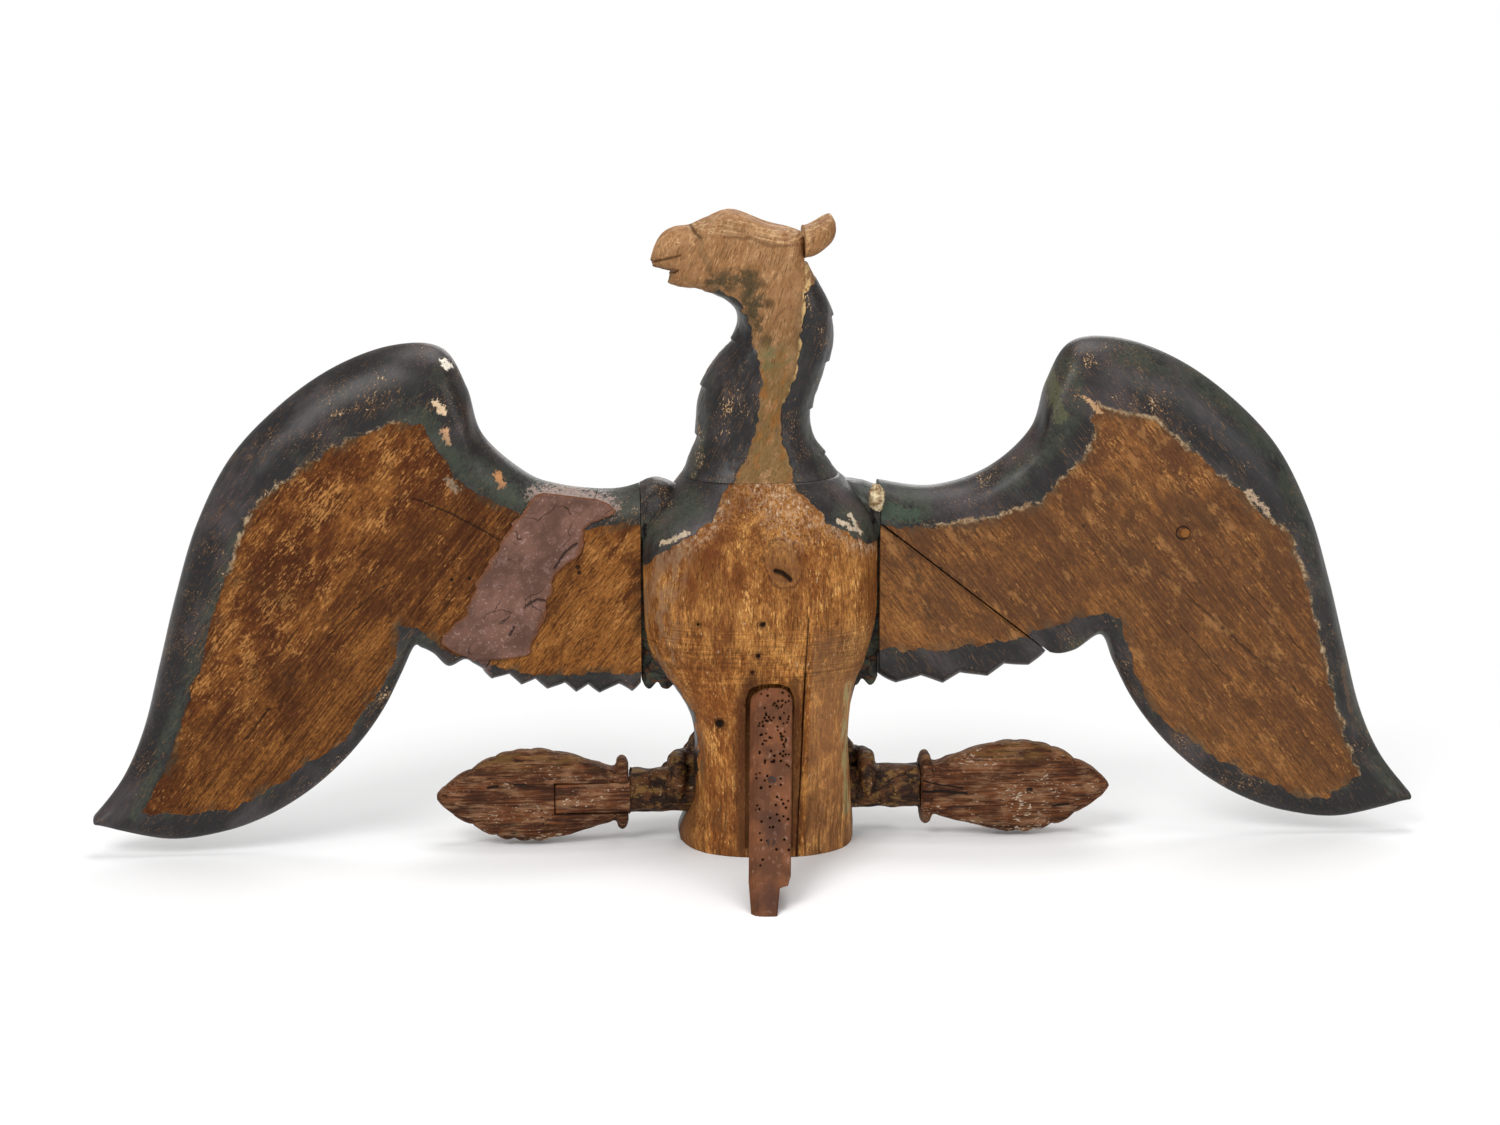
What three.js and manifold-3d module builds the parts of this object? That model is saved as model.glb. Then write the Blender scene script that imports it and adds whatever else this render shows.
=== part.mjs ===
import * as THREE from 'three';
import { mergeVertices } from 'three/addons/utils/BufferGeometryUtils.js';
import Module from 'manifold-3d';

// Carved and painted softwood eagle with spread wings, standing on a crossbar with leaf ends.
// Millimetres. X runs along the wings, +Y is the carved front, -Y the flat back, +Z is up.
// The origin lies on the flat underside of the tail block.

const wasm = await Module();
wasm.setup();

// Driving dimensions
const GAP = 0.3;
const WING_CENTRE = 2;
const WING_THICKNESS = 46;
const NECK_JOINT_Z = 346;
const CREST_JOINT_X = 43;
const BAR_Y = 34;
const BAR_Z = 47;
const BAR_RADIUS = 22;
const BAR_LEFT = -119;
const BAR_RIGHT = 153;
const TENON_HEIGHT = 30;
const TENON_LENGTH = 70;
const TENON_BACK_Y = 13;
const BLIND_TENON_BACK_Y = 20;
const TENON_FRONT_Y = 38;
const LEAF_LENGTH = 179;
const SIDE_BOARD_TOP = 176;
const SIDE_BOARD_FOOT_X = 33;
const SIDE_BOARD_LEAN = 0.035;
const SLOT_LEFT = -15;
const SLOT_RIGHT = 29;
const SLOT_FOOT_Z = 9;
const SLOT_TOP_Z = 167;
const SLOT_FLOOR_Y = -29;
const STRUT_TOP = new THREE.Vector3(8, -50, 165);
const STRUT_FOOT = new THREE.Vector3(-6, -214, 0);
const STRUT_THICKNESS = 28;
const TOOTH_DEPTH = 8;
const LEFT_TEETH = 6;
const RIGHT_TEETH = 4;
const FAR = 700;

// Body block: height, left side, right side, back, widest depth, front, squareness
const BODY_STATIONS = [
  [0, -71, 91, -38, 42, 64, 3.2],
  [14, -72, 91, -38, 42, 64, 3.2],
  [40, -62, 89, -38, 38, 62, 3.1],
  [75, -58, 86, -39, 34, 62, 3],
  [105, -58, 85, -41, 30, 66, 3],
  [130, -64, 87, -43, 26, 78, 2.8],
  [155, -80, 91, -46, 22, 96, 2.6],
  [180, -98, 101, -49, 20, 114, 2.4],
  [210, -106, 109, -51, 19, 126, 2.4],
  [245, -107.4, 111.4, -51, 19, 134, 2.4],
  [280, -107.2, 111.3, -46, 20, 137, 2.4],
  [296, -106.6, 111, -42, 23, 134, 2.4],
  [308, -102, 109, -37, 27, 128, 2.4],
  [320, -92, 103, -30, 33, 120, 2.4],
  [332, -80, 93, -22, 39, 112, 2.4],
  [340, -72.5, 83, -16.5, 43, 106, 2.4],
  [NECK_JOINT_Z - GAP, -68, 76, -13, 45, 101, 2.4],
];

// Shoulders beside the neck: x, top, bottom, back, widest depth, front, squareness
const LEFT_SHOULDER = [
  [-107.4, 340, 280, 1, 38, 48, 2.6],
  [-99, 343.5, 280, 3, 38, 50, 2.6],
  [-91, 344.6, 280, 6, 38, 52, 2.5],
  [-82, 342, 280, 11, 39, 56, 2.4],
  [-72, 338, 280, 18, 40, 60, 2.4],
  [-60, 337, 280, 24, 41, 62, 2.4],
];
const RIGHT_SHOULDER = [
  [60, 340, 280, 24, 41, 62, 2.4],
  [78, 341.5, 280, 17, 40, 60, 2.4],
  [95, 339.5, 280, 8, 38, 54, 2.5],
  [104, 337, 280, 4, 38, 50, 2.6],
  [111.4, 335, 280, 1, 38, 48, 2.6],
];

// Neck and head: back-of-head rail x and z, throat rail x and z, back, widest depth, front, squareness
const HEAD_STATIONS = [
  [76, NECK_JOINT_Z, -68, NECK_JOINT_Z, -13, 45, 101, 2.4],
  [71, 352, -64, 352, -11, 45, 103, 2.4],
  [65, 361, -60, 362, -8, 45, 108, 2.3],
  [54, 376, -54, 378, -4, 46, 104, 2.3],
  [50, 395, -53, 396, -1, 47, 102, 2.3],
  [52, 415, -52, 414, 0, 48, 100, 2.3],
  [61, 436, -46, 433, 2, 48, 97, 2.3],
  [68, 457, -34, 453, 3, 48, 94, 2.5],
  [71, 477, -20, 470, 4, 47, 91, 2.6],
  [70, 492, -15, 485, 5, 46, 88, 2.8],
  [65, 508, -18, 498, 6, 45, 86, 3.2],
  [56, 524, -28, 508, 7, 44, 84, 3.6],
  [46, 545, -40, 514, 8, 44, 82, 4],
  [44, 565, -50, 517, 8, 44, 80, 4],
  [33, 572, -57, 519, 8, 44, 80, 4],
  [10, 578, -62, 519.5, 8, 43, 79, 4],
  [-22, 589.5, -68, 520, 9, 42, 77, 4],
  [-46, 582, -74, 521, 11, 42, 74, 3.5],
  [-60, 576, -80, 523, 14, 42, 70, 3],
  [-74, 574, -78, 530, 16, 42, 68, 2.8],
  [-85, 568, -84, 534, 20, 42, 64, 2.6],
  [-92, 557, -89, 536, 24, 42, 60, 2.5],
  [-96, 544, -94, 538, 30, 42, 54, 2.3],
];

// Raised crest at the back of the head, same columns
const CREST_STATIONS = [
  [CREST_JOINT_X + GAP, 574, CREST_JOINT_X + GAP, 546, 11, 40, 71, 3.5],
  [50, 576.5, 51, 547.5, 11, 40, 71, 3.5],
  [57, 580, 60, 552, 12, 40, 69, 3.2],
  [63, 584, 68, 559, 14, 40, 66, 3],
  [68, 585, 72, 568, 18, 40, 62, 2.6],
  [71.5, 580, 72.5, 575, 28, 40, 52, 2.3],
];

// Leaf end: distance from the bar's shoulder, top, bottom, back, widest depth, front, squareness
const LEAF_STATIONS = [
  [GAP, 72, 19, 14, 36, 56, 2.3],
  [2.5, 78, 12, 10, 36, 60, 2.3],
  [6.5, 80, 9.5, 9, 36, 61, 2.3],
  [10.5, 78, 12, 10, 36, 60, 2.4],
  [13.5, 71, 19, 12, 35, 54, 3],
  [22, 73, 18, 12, 31, 54, 4],
  [48, 84, 11, 12, 28, 56, 5],
  [84, 91.5, 3, 12, 27, 57, 5],
  [116, 88.5, 5, 12, 27, 54, 5],
  [141, 78, 15, 12, 27, 48, 5],
  [160, 67, 27, 13, 26, 42, 4],
  [173, 56, 37, 15, 26, 37, 3.5],
  [LEAF_LENGTH, 49, 44, 20, 26, 32, 2.5],
];

// Wing edges as half-span and height, paired point by point from the root to the tip
const RIGHT_LEADING = [
  [110, 340], [160, 334], [212, 350], [252, 386], [266, 430], [288, 466], [332, 469], [385, 450],
  [436, 415], [482, 367], [514, 306], [535, 240], [551, 178], [567, 118], [587, 73], [615, 37],
];
const RIGHT_TRAILING = [
  [110, 302], [150, 271], [195, 235], [235, 204], [268, 180], [292, 178], [318, 193], [330, 168],
  [345, 138], [364, 110], [389, 82], [420, 56], [456, 35], [497, 21], [548, 16], [612, 31],
];
const LEFT_LEADING = [[148, 335], [180, 339], ...RIGHT_LEADING.slice(2)];
const LEFT_TRAILING = [
  [256, 171], [264, 176], [272, 180], [287, 174], [300, 186], [311, 192], ...RIGHT_TRAILING.slice(6),
];

// Root boards: upper edge and toothed lower edge. The right one is cut along its joint with the blade
const RIGHT_JOINT = [[110, 305], [266, 182]];
const RIGHT_ROOT_UPPER = [[110, 308], [162, 267], [214, 226], [264, 187]];
const RIGHT_ROOT_LOWER = [[110, 160], [162, 157], [214, 164], [264, 178]];
const LEFT_ROOT_UPPER = [[110, 340], [122, 336.5], [134, 335], [147.5, 335]];
const LEFT_ROOT_LOWER = [[110, 155], [158, 154], [206, 160], [255.5, 171]];

// Flat tongue that joins each wing to the body: half-span and height, with a toothed lower end
const TONGUE = [
  [72, 288], [112, 288], [145, 265], [145, 182], [109, 182], [109, 156], [101, 150], [94, 156],
  [84, 149], [72, 160],
];
const TONGUE_BACK_Y = 9;
const TONGUE_FRONT_Y = 26;

// Hard filler spread over the joint of the left wing
const PUTTY = [
  [196, 330], [160, 331], [132, 320], [157, 308], [165, 280], [184, 262], [194, 232], [206, 196],
  [230, 184], [256, 180], [292, 203], [272, 222], [262, 242], [242, 280], [228, 306], [212, 330],
];

const paint = { roughness: 0.55, metalness: 0 };
const MATERIALS = {
  bodyWood: new THREE.MeshStandardMaterial({ color: 0xab7337, roughness: 0.7, metalness: 0 }),
  headWood: new THREE.MeshStandardMaterial({ color: 0xb98c55, roughness: 0.7, metalness: 0 }),
  wingWood: new THREE.MeshStandardMaterial({ color: 0x94602b, roughness: 0.7, metalness: 0 }),
  wingPaint: new THREE.MeshStandardMaterial({ color: 0x2d322f, ...paint }),
  putty: new THREE.MeshStandardMaterial({ color: 0x785f5a, roughness: 0.9, metalness: 0 }),
  gesso: new THREE.MeshStandardMaterial({ color: 0xd8cbb0, roughness: 0.9, metalness: 0 }),
  barWood: new THREE.MeshStandardMaterial({ color: 0x4b3320, roughness: 0.7, metalness: 0 }),
  leafWood: new THREE.MeshStandardMaterial({ color: 0x5f3d2a, roughness: 0.75, metalness: 0 }),
  strutWood: new THREE.MeshStandardMaterial({ color: 0x774b3a, roughness: 0.75, metalness: 0 }),
  dowelWood: new THREE.MeshStandardMaterial({ color: 0xc49a62, roughness: 0.8, metalness: 0 }),
  iron: new THREE.MeshStandardMaterial({ color: 0x2c2623, roughness: 0.6, metalness: 0.8 }),
};

// A closed solid for boolean work, from any three.js geometry
function solid(geometry) {
  const bare = geometry.index ? geometry.toNonIndexed() : geometry.clone();
  for (const name of Object.keys(bare.attributes)) {
    if (name !== 'position') bare.deleteAttribute(name);
  }
  const merged = mergeVertices(bare, 1e-4);
  const vertProperties = new Float32Array(merged.attributes.position.array);
  const corners = merged.index.array;
  const kept = [];
  for (let k = 0; k < corners.length; k += 3) {
    const [a, b, c] = corners.slice(k, k + 3);
    if (a !== b && b !== c && c !== a) kept.push(a, b, c);
  }
  const triVerts = new Uint32Array(kept);
  return new wasm.Manifold(new wasm.Mesh({ numProp: 3, vertProperties, triVerts }));
}

// Back from a boolean solid to a three.js geometry
function geometryOf(manifold) {
  const mesh = manifold.getMesh();
  const geometry = new THREE.BufferGeometry();
  geometry.setAttribute('position', new THREE.BufferAttribute(mesh.vertProperties, 3));
  geometry.setIndex(new THREE.BufferAttribute(mesh.triVerts, 1));
  return geometry;
}

// Smooth value of every column at a place between rows: a Catmull-Rom spline through the rows
function between(rows, place) {
  const last = rows.length - 1;
  const i = Math.min(Math.floor(place), last - 1);
  const t = place - i;
  const [a, b, c, d] = [rows[Math.max(i - 1, 0)], rows[i], rows[i + 1], rows[Math.min(i + 2, last)]];
  return b.map((value, k) => {
    const slopeIn = (c[k] - a[k]) / 2;
    const slopeOut = (d[k] - value) / 2;
    const cubic = 2 * value - 2 * c[k] + slopeIn + slopeOut;
    const square = -3 * value + 3 * c[k] - 2 * slopeIn - slopeOut;
    return ((cubic * t + square) * t + slopeIn) * t + value;
  });
}

// Rows at even steps between the first and the last
function spread(rows, count) {
  const last = rows.length - 1;
  return Array.from({ length: count + 1 }, (_, k) => between(rows, (last * k) / count));
}

// Closed surface through rings of points, with a fan over each end
function loft(rings) {
  const size = rings[0].length;
  const positions = rings.flat(2);
  const index = [];
  for (let r = 0; r < rings.length - 1; r++) {
    for (let k = 0; k < size; k++) {
      const [a, b] = [r * size + k, r * size + ((k + 1) % size)];
      index.push(a, b, b + size, a, b + size, a + size);
    }
  }
  for (const [ring, offset, turn] of [[rings[0], 0, 1], [rings.at(-1), (rings.length - 1) * size, -1]]) {
    const centre = positions.length / 3;
    for (const axis of [0, 1, 2]) positions.push(ring.reduce((sum, p) => sum + p[axis], 0) / size);
    for (let k = 0; k < size; k++) {
      const pair = [offset + k, offset + ((k + 1) % size)];
      index.push(centre, ...(turn > 0 ? pair.reverse() : pair));
    }
  }
  const geometry = new THREE.BufferGeometry();
  geometry.setAttribute('position', new THREE.BufferAttribute(new Float32Array(positions), 3));
  geometry.setIndex(index);
  return facingOut(geometry);
}

// Turns every triangle over when the enclosed volume comes out negative
function facingOut(geometry) {
  const p = geometry.attributes.position;
  const index = geometry.index.array;
  const [a, b, c] = [new THREE.Vector3(), new THREE.Vector3(), new THREE.Vector3()];
  let volume = 0;
  for (let k = 0; k < index.length; k += 3) {
    a.fromBufferAttribute(p, index[k]);
    b.fromBufferAttribute(p, index[k + 1]);
    c.fromBufferAttribute(p, index[k + 2]);
    volume += a.dot(b.cross(c));
  }
  if (volume < 0) {
    for (let k = 0; k < index.length; k += 3) [index[k], index[k + 1]] = [index[k + 1], index[k]];
  }
  return geometry;
}

// Carved section between two rails: a superellipse whose back and front have their own depth
function carvedRing([ax, az, bx, bz, back, side, front, square], corners) {
  return Array.from({ length: corners }, (_, k) => {
    const angle = (2 * Math.PI * k) / corners;
    const [c, s] = [Math.cos(angle), Math.sin(angle)];
    const power = 2 / (s > 0 ? square : Math.min(square, 2.6));
    const along = 0.5 - 0.5 * Math.sign(c) * Math.abs(c) ** power;
    const depth = Math.abs(s) < 1e-9 ? 0 : Math.abs(s) ** power;
    const y = s > 0 ? side - (side - back) * depth : side + (front - side) * depth;
    return [ax + (bx - ax) * along, y, az + (bz - az) * along];
  });
}

function carved(stations, steps, corners) {
  return loft(spread(stations, steps).map((row) => carvedRing(row, corners)));
}

// Wing section across one rib: rolled edges at the back, flat field between, crowned front
function wingRing(lead, trail, shape) {
  const chord = Math.hypot(trail[0] - lead[0], trail[1] - lead[1]);
  const [leadRoll, leadDepth, trailRoll, trailDepth, crown] = shape;
  const scale = Math.min(1, (chord * 0.9) / (leadRoll + trailRoll));
  const rollSteps = 4;
  const frontSteps = 5;
  const profile = [];
  for (let k = 0; k <= rollSteps; k++) {
    const angle = (Math.PI / 2) * (k / rollSteps);
    profile.push([leadRoll * scale * (1 - Math.cos(angle)), leadDepth * (1 - Math.sin(angle))]);
  }
  for (let k = rollSteps; k >= 0; k--) {
    const angle = (Math.PI / 2) * (k / rollSteps);
    profile.push([chord - trailRoll * scale * (1 - Math.cos(angle)), trailDepth * (1 - Math.sin(angle))]);
  }
  for (let k = frontSteps; k > 0; k--) {
    const f = k / (frontSteps + 1);
    const swell = crown * Math.sin(Math.PI * f ** 0.6);
    profile.push([chord * f, leadDepth + (trailDepth - leadDepth) * f + swell]);
  }
  return profile.map(([t, y]) => {
    const f = t / chord;
    return [lead[0] + (trail[0] - lead[0]) * f, y, lead[1] + (trail[1] - lead[1]) * f];
  });
}

// Board of a wing on one side (-1 left, +1 right) from its two edges and its section shapes
function wingBoard(side, upper, lower, shapes, steps, teeth = 0) {
  const shape = spread(shapes, steps);
  const top = spread(upper, steps);
  const bottom = spread(lower, steps);
  const rings = shape.map((row, k) => {
    const tooth = TOOTH_DEPTH * Math.abs(Math.sin((Math.PI * teeth * k) / steps));
    return wingRing(top[k], [bottom[k][0], bottom[k][1] - tooth], row);
  });
  return loft(rings.map((ring) => ring.map(([x, y, z]) => [WING_CENTRE + side * x, y, z])));
}

// Round peg between two points
function peg(from, to, radius, sides = 12) {
  const [start, end] = [new THREE.Vector3(...from), new THREE.Vector3(...to)];
  const axis = end.clone().sub(start);
  const geometry = new THREE.CylinderGeometry(radius, radius, axis.length(), sides);
  const turn = new THREE.Quaternion().setFromUnitVectors(new THREE.Vector3(0, 1, 0), axis.normalize());
  geometry.applyQuaternion(turn);
  const middle = start.add(end).multiplyScalar(0.5);
  return geometry.translate(middle.x, middle.y, middle.z);
}

// Hole for a peg: the same peg, wider and longer by the gap
function pegHole(from, to, radius, sides = 12) {
  const [start, end] = [new THREE.Vector3(...from), new THREE.Vector3(...to)];
  const extra = end.clone().sub(start).setLength(GAP);
  return solid(peg(start.sub(extra).toArray(), end.add(extra).toArray(), radius + GAP, sides));
}

function box(x0, x1, y0, y1, z0, z1) {
  const geometry = new THREE.BoxGeometry(x1 - x0, y1 - y0, z1 - z0);
  return geometry.translate((x0 + x1) / 2, (y0 + y1) / 2, (z0 + z1) / 2);
}

// Upright board cut to an outline of half-span and height, between two depths
function plate(outline, side, y0, y1, margin = 0) {
  const middle = outline.reduce((sum, p) => [sum[0] + p[0], sum[1] + p[1]], [0, 0]);
  const centre = middle.map((value) => value / outline.length);
  const points = outline.map(([x, z]) => {
    const away = new THREE.Vector2(x - centre[0], z - centre[1]);
    away.setLength(away.length() + margin * 1.6);
    return new THREE.Vector2(WING_CENTRE + side * (centre[0] + away.x), centre[1] + away.y);
  });
  const geometry = new THREE.ExtrudeGeometry(new THREE.Shape(points), {
    depth: y1 - y0 + 2 * margin,
    bevelEnabled: false,
  });
  return geometry.rotateX(Math.PI / 2).translate(0, y1 + margin, 0);
}

const group = new THREE.Group();

function add(name, geometry, material) {
  const mesh = new THREE.Mesh(geometry, material);
  mesh.name = name;
  group.add(mesh);
  return mesh;
}

// Tongues, and the pockets that take them in body and wing
function tongue(side) {
  return plate(TONGUE, side, TONGUE_BACK_Y, TONGUE_FRONT_Y);
}

function tonguePocket(side) {
  return solid(plate(TONGUE, side, TONGUE_BACK_Y, TONGUE_FRONT_Y, GAP));
}

// Nails that hold each tongue, driven from the carved front
const TONGUE_NAIL_X = 128;
const TONGUE_NAIL_TIP_Y = 12;
const TONGUE_NAILS = { lower: { z: 205, headY: 33 }, upper: { z: 252, headY: 40 } };

function nailProfile(length, extra = 0) {
  const [head, shank, top] = [4 + extra, 2.2 + extra, 4 * extra];
  const profile = [[0, top], [head, top], [head, -1.6], [shank, -3], [shank, -length + 4], [0, -length - extra]];
  return profile.map(([r, z]) => new THREE.Vector2(r, z));
}

function nail(length, extra = 0) {
  return facingOut(new THREE.LatheGeometry(nailProfile(length, extra), 8));
}

function tongueNail(side, { z, headY }) {
  return nail(headY - TONGUE_NAIL_TIP_Y).translate(WING_CENTRE + side * TONGUE_NAIL_X, headY, z);
}

function tongueNailHole(side, { z, headY }) {
  const x = WING_CENTRE + side * TONGUE_NAIL_X;
  const shaft = nail(headY - TONGUE_NAIL_TIP_Y, GAP).translate(x, headY, z);
  const mouth = peg([x, headY + GAP, z], [x, headY + 40, z], 4 + GAP, 8);
  return solid(shaft).add(solid(mouth));
}

// Bar across the tail block, round with a squared tenon at each end
const barCentre = [BAR_Y, BAR_Z];

function barRound(radius, x0, x1) {
  const geometry = new THREE.CylinderGeometry(radius, radius, x1 - x0, 20);
  return geometry.rotateZ(Math.PI / 2).translate((x0 + x1) / 2, ...barCentre);
}

function tenon(x0, x1, backY) {
  const half = TENON_HEIGHT / 2;
  const centre = BAR_Z - 2;
  return box(x0, x1, backY, TENON_FRONT_Y, centre - half, centre + half);
}

const bar = solid(barRound(BAR_RADIUS, BAR_LEFT + GAP, BAR_RIGHT - GAP))
  .add(solid(tenon(BAR_LEFT - TENON_LENGTH, BAR_LEFT + 10, TENON_BACK_Y)))
  .add(solid(tenon(BAR_RIGHT - 10, BAR_RIGHT + TENON_LENGTH, BLIND_TENON_BACK_Y)));

// Body block, cut for the side board, the strut, the bar, the tongues and the dowels
const bodyRows = BODY_STATIONS.map(([z, left, right, back, side, front, square]) => {
  return [left, z, right, z, back, side, front, square];
});
const shoulderRows = (rows) => rows.map(([x, top, bottom, ...depths]) => [x, top, x, bottom, ...depths]);
const bodyBlock = solid(carved(bodyRows, 2 * (bodyRows.length - 1), 20))
  .add(solid(carved(shoulderRows(LEFT_SHOULDER), 2 * (LEFT_SHOULDER.length - 1), 16)))
  .add(solid(carved(shoulderRows(RIGHT_SHOULDER), 2 * (RIGHT_SHOULDER.length - 1), 16)));

function sideBoardCut(shift) {
  const [foot, lean] = [SIDE_BOARD_FOOT_X + shift, SIDE_BOARD_LEAN * FAR];
  const outline = new THREE.Shape();
  outline.moveTo(foot - lean / 7, -FAR / 7);
  outline.lineTo(FAR, -FAR / 7);
  outline.lineTo(FAR, SIDE_BOARD_TOP - shift);
  outline.lineTo(foot + (SIDE_BOARD_TOP - shift) * SIDE_BOARD_LEAN, SIDE_BOARD_TOP - shift);
  outline.closePath();
  const geometry = new THREE.ExtrudeGeometry(outline, { depth: FAR, bevelEnabled: false });
  return solid(geometry.rotateX(Math.PI / 2).translate(0, FAR / 2, 0));
}

const slotShape = new THREE.Shape();
slotShape.moveTo(SLOT_LEFT, SLOT_FOOT_Z);
slotShape.lineTo(SLOT_RIGHT, SLOT_FOOT_Z);
slotShape.lineTo(SLOT_RIGHT, SLOT_TOP_Z - 14);
slotShape.quadraticCurveTo(SLOT_RIGHT, SLOT_TOP_Z, SLOT_RIGHT - 14, SLOT_TOP_Z);
slotShape.lineTo(SLOT_LEFT + 14, SLOT_TOP_Z);
slotShape.quadraticCurveTo(SLOT_LEFT, SLOT_TOP_Z, SLOT_LEFT, SLOT_TOP_Z - 14);
slotShape.closePath();
const slotGeometry = new THREE.ExtrudeGeometry(slotShape, { depth: 100, bevelEnabled: false, curveSegments: 4 });
const slot = solid(slotGeometry.rotateX(Math.PI / 2).translate(0, SLOT_FLOOR_Y, 0));

const SIDE_DOWELS = [96, 148].map((z) => ({ from: [10, 22, z], to: [66, 22, z], radius: 6 }));
const NECK_DOWEL = { from: [4, 46, NECK_JOINT_Z - 50], to: [4, 46, NECK_JOINT_Z + 45], radius: 13 };
const CREST_PEG = { from: [26, 40, 561], to: [60, 40, 565], radius: 4.5 };
const hole = ({ from, to, radius }) => pegHole(from, to, radius);
const dowel = ({ from, to, radius }) => peg(from, to, radius);

const barBore = solid(barRound(BAR_RADIUS + GAP, -FAR, FAR));
let body = bodyBlock.subtract(sideBoardCut(-GAP / 2)).subtract(slot).subtract(barBore);
let sideBoard = bodyBlock.intersect(sideBoardCut(GAP / 2)).subtract(barBore);
for (const each of SIDE_DOWELS) {
  body = body.subtract(hole(each));
  sideBoard = sideBoard.subtract(hole(each));
}
body = body.subtract(hole(NECK_DOWEL)).subtract(tonguePocket(-1)).subtract(tonguePocket(1));
sideBoard = sideBoard.subtract(tonguePocket(1));

// Feet: toes curled round the bar from one knuckle, with a shank up to the thigh
const KNUCKLE_Y = 64;
const KNUCKLE_Z = 84;
const TOE_RADIUS = 7.5;
const TOE_CIRCLE = BAR_RADIUS + GAP + TOE_RADIUS - 1.5;

// Tapered round limb along a path of points, radius given at each point
function limb(path, radii, corners = 8, steps = 7) {
  const curve = new THREE.CatmullRomCurve3(path.map((p) => new THREE.Vector3(...p)));
  const rings = [];
  for (let k = 0; k <= steps; k++) {
    const t = k / steps;
    const centre = curve.getPoint(t);
    const tangent = curve.getTangent(t);
    const across = new THREE.Vector3(1, 0, 0).cross(tangent).normalize();
    const up = across.clone().cross(tangent);
    const [radius] = between(radii.map((r) => [r]), t * (radii.length - 1));
    rings.push(Array.from({ length: corners }, (_, c) => {
      const angle = (2 * Math.PI * c) / corners;
      const offset = across.clone().multiplyScalar(Math.cos(angle) * radius);
      return centre.clone().add(offset).addScaledVector(up, Math.sin(angle) * radius).toArray();
    }));
  }
  return loft(rings);
}

// Point beside the bar's surface at an angle from straight in front, turning up
function besideBar(x, degrees) {
  const angle = THREE.MathUtils.degToRad(degrees);
  return [x, BAR_Y + TOE_CIRCLE * Math.cos(angle), BAR_Z + TOE_CIRCLE * Math.sin(angle)];
}

function foot(side, blockEdge) {
  const knuckleX = blockEdge + side * 4;
  const thighX = blockEdge - side * 26;
  let form = solid(limb(
    [[thighX, 84, 168], [thighX + side * 2, 82, 140], [thighX + side * 6, 74, 108], [knuckleX, 62, 78]],
    [15, 13, 12, 12], 10, 5,
  ));
  for (const reach of [15, 29, 43]) {
    const toe = [30, 2, -26, -55].map((degrees, k) => {
      return besideBar(knuckleX + (side * reach - side * 4) * Math.min(1, (k + 1) / 3), degrees);
    });
    toe.unshift([knuckleX, KNUCKLE_Y, KNUCKLE_Z]);
    form = form.add(solid(limb(toe, [9, TOE_RADIUS + 1, TOE_RADIUS, TOE_RADIUS - 1, 2])));
  }
  const hindToe = [85, 120, 155, 190].map((degrees) => besideBar(blockEdge + side * 14, degrees));
  hindToe.unshift([knuckleX, KNUCKLE_Y, KNUCKLE_Z]);
  form = form.add(solid(limb(hindToe, [11, 10, 9, 7, 2])));
  const clear = [[0, GAP], [side * GAP, 0]];
  for (const [dx, dy] of clear) form = form.subtract(bodyBlock.translate([dx, dy, 0]));
  return form.subtract(barBore);
}

const FOOT_DOWELS = {
  left: { from: [-36, 58, 148], to: [-36, 91, 148], radius: 4.5 },
  right: { from: [64, 58, 148], to: [64, 91, 148], radius: 4.5 },
};
let leftFoot = foot(-1, -60);
let rightFoot = foot(1, 88);

// Leaf ends with their collars; the left one is slotted at the back for its tenon, the right one is blind
function leafEnd(side, shoulder) {
  const rows = LEAF_STATIONS.map(([d, top, bottom, back, wide, front, square]) => {
    const x = shoulder + side * d;
    return [x, top, x, bottom, back, wide, front, square];
  });
  return solid(carved(rows, 2 * (rows.length - 1), 16));
}

function mortise(x0, x1, backY) {
  const half = TENON_HEIGHT / 2 + GAP;
  const centre = BAR_Z - 2;
  return solid(box(x0, x1, backY, TENON_FRONT_Y + GAP, centre - half, centre + half));
}

const leftMortise = mortise(BAR_LEFT - TENON_LENGTH - GAP, BAR_LEFT + 10, -30);
const rightMortise = mortise(BAR_RIGHT - 10, BAR_RIGHT + TENON_LENGTH + GAP, BLIND_TENON_BACK_Y - GAP);
const leftLeaf = leafEnd(-1, BAR_LEFT).subtract(leftMortise);
const rightLeaf = leafEnd(1, BAR_RIGHT).subtract(rightMortise);

// Wing boards. Each shape row: leading roll and depth, trailing roll and depth, crown of the front
const T = WING_THICKNESS;
const CUT = 0.4;
const RIGHT_BLADE_SHAPES = [
  [34, 40, CUT, T, 6], [36, 40, CUT, T, 8], [42, 42, CUT, T, 10], [52, 44, 12, 30, 12],
  [56, 44, 22, 20, 14], [48, 42, 26, 20, 14], [40, 40, 28, 20, 12], [32, 34, 28, 18, 8], [14, 20, 12, 14, 3],
];
const LEFT_BLADE_SHAPES = [
  [36, 40, 10, 26, 12], [40, 42, 12, 24, 12], [52, 44, 16, 22, 12],
  [56, 44, 22, 20, 14], [48, 42, 26, 20, 14], [40, 40, 28, 20, 12], [32, 34, 28, 18, 8], [14, 20, 12, 14, 3],
];
const RIGHT_ROOT_SHAPES = [[CUT, T, 12, 26, 2], [CUT, T, 12, 26, 2], [CUT, T - 6, 10, 24, 0]];
const LEFT_ROOT_SHAPES = [[34, 40, 12, 26, 12], [36, 40, 10, 26, 12]];

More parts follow.
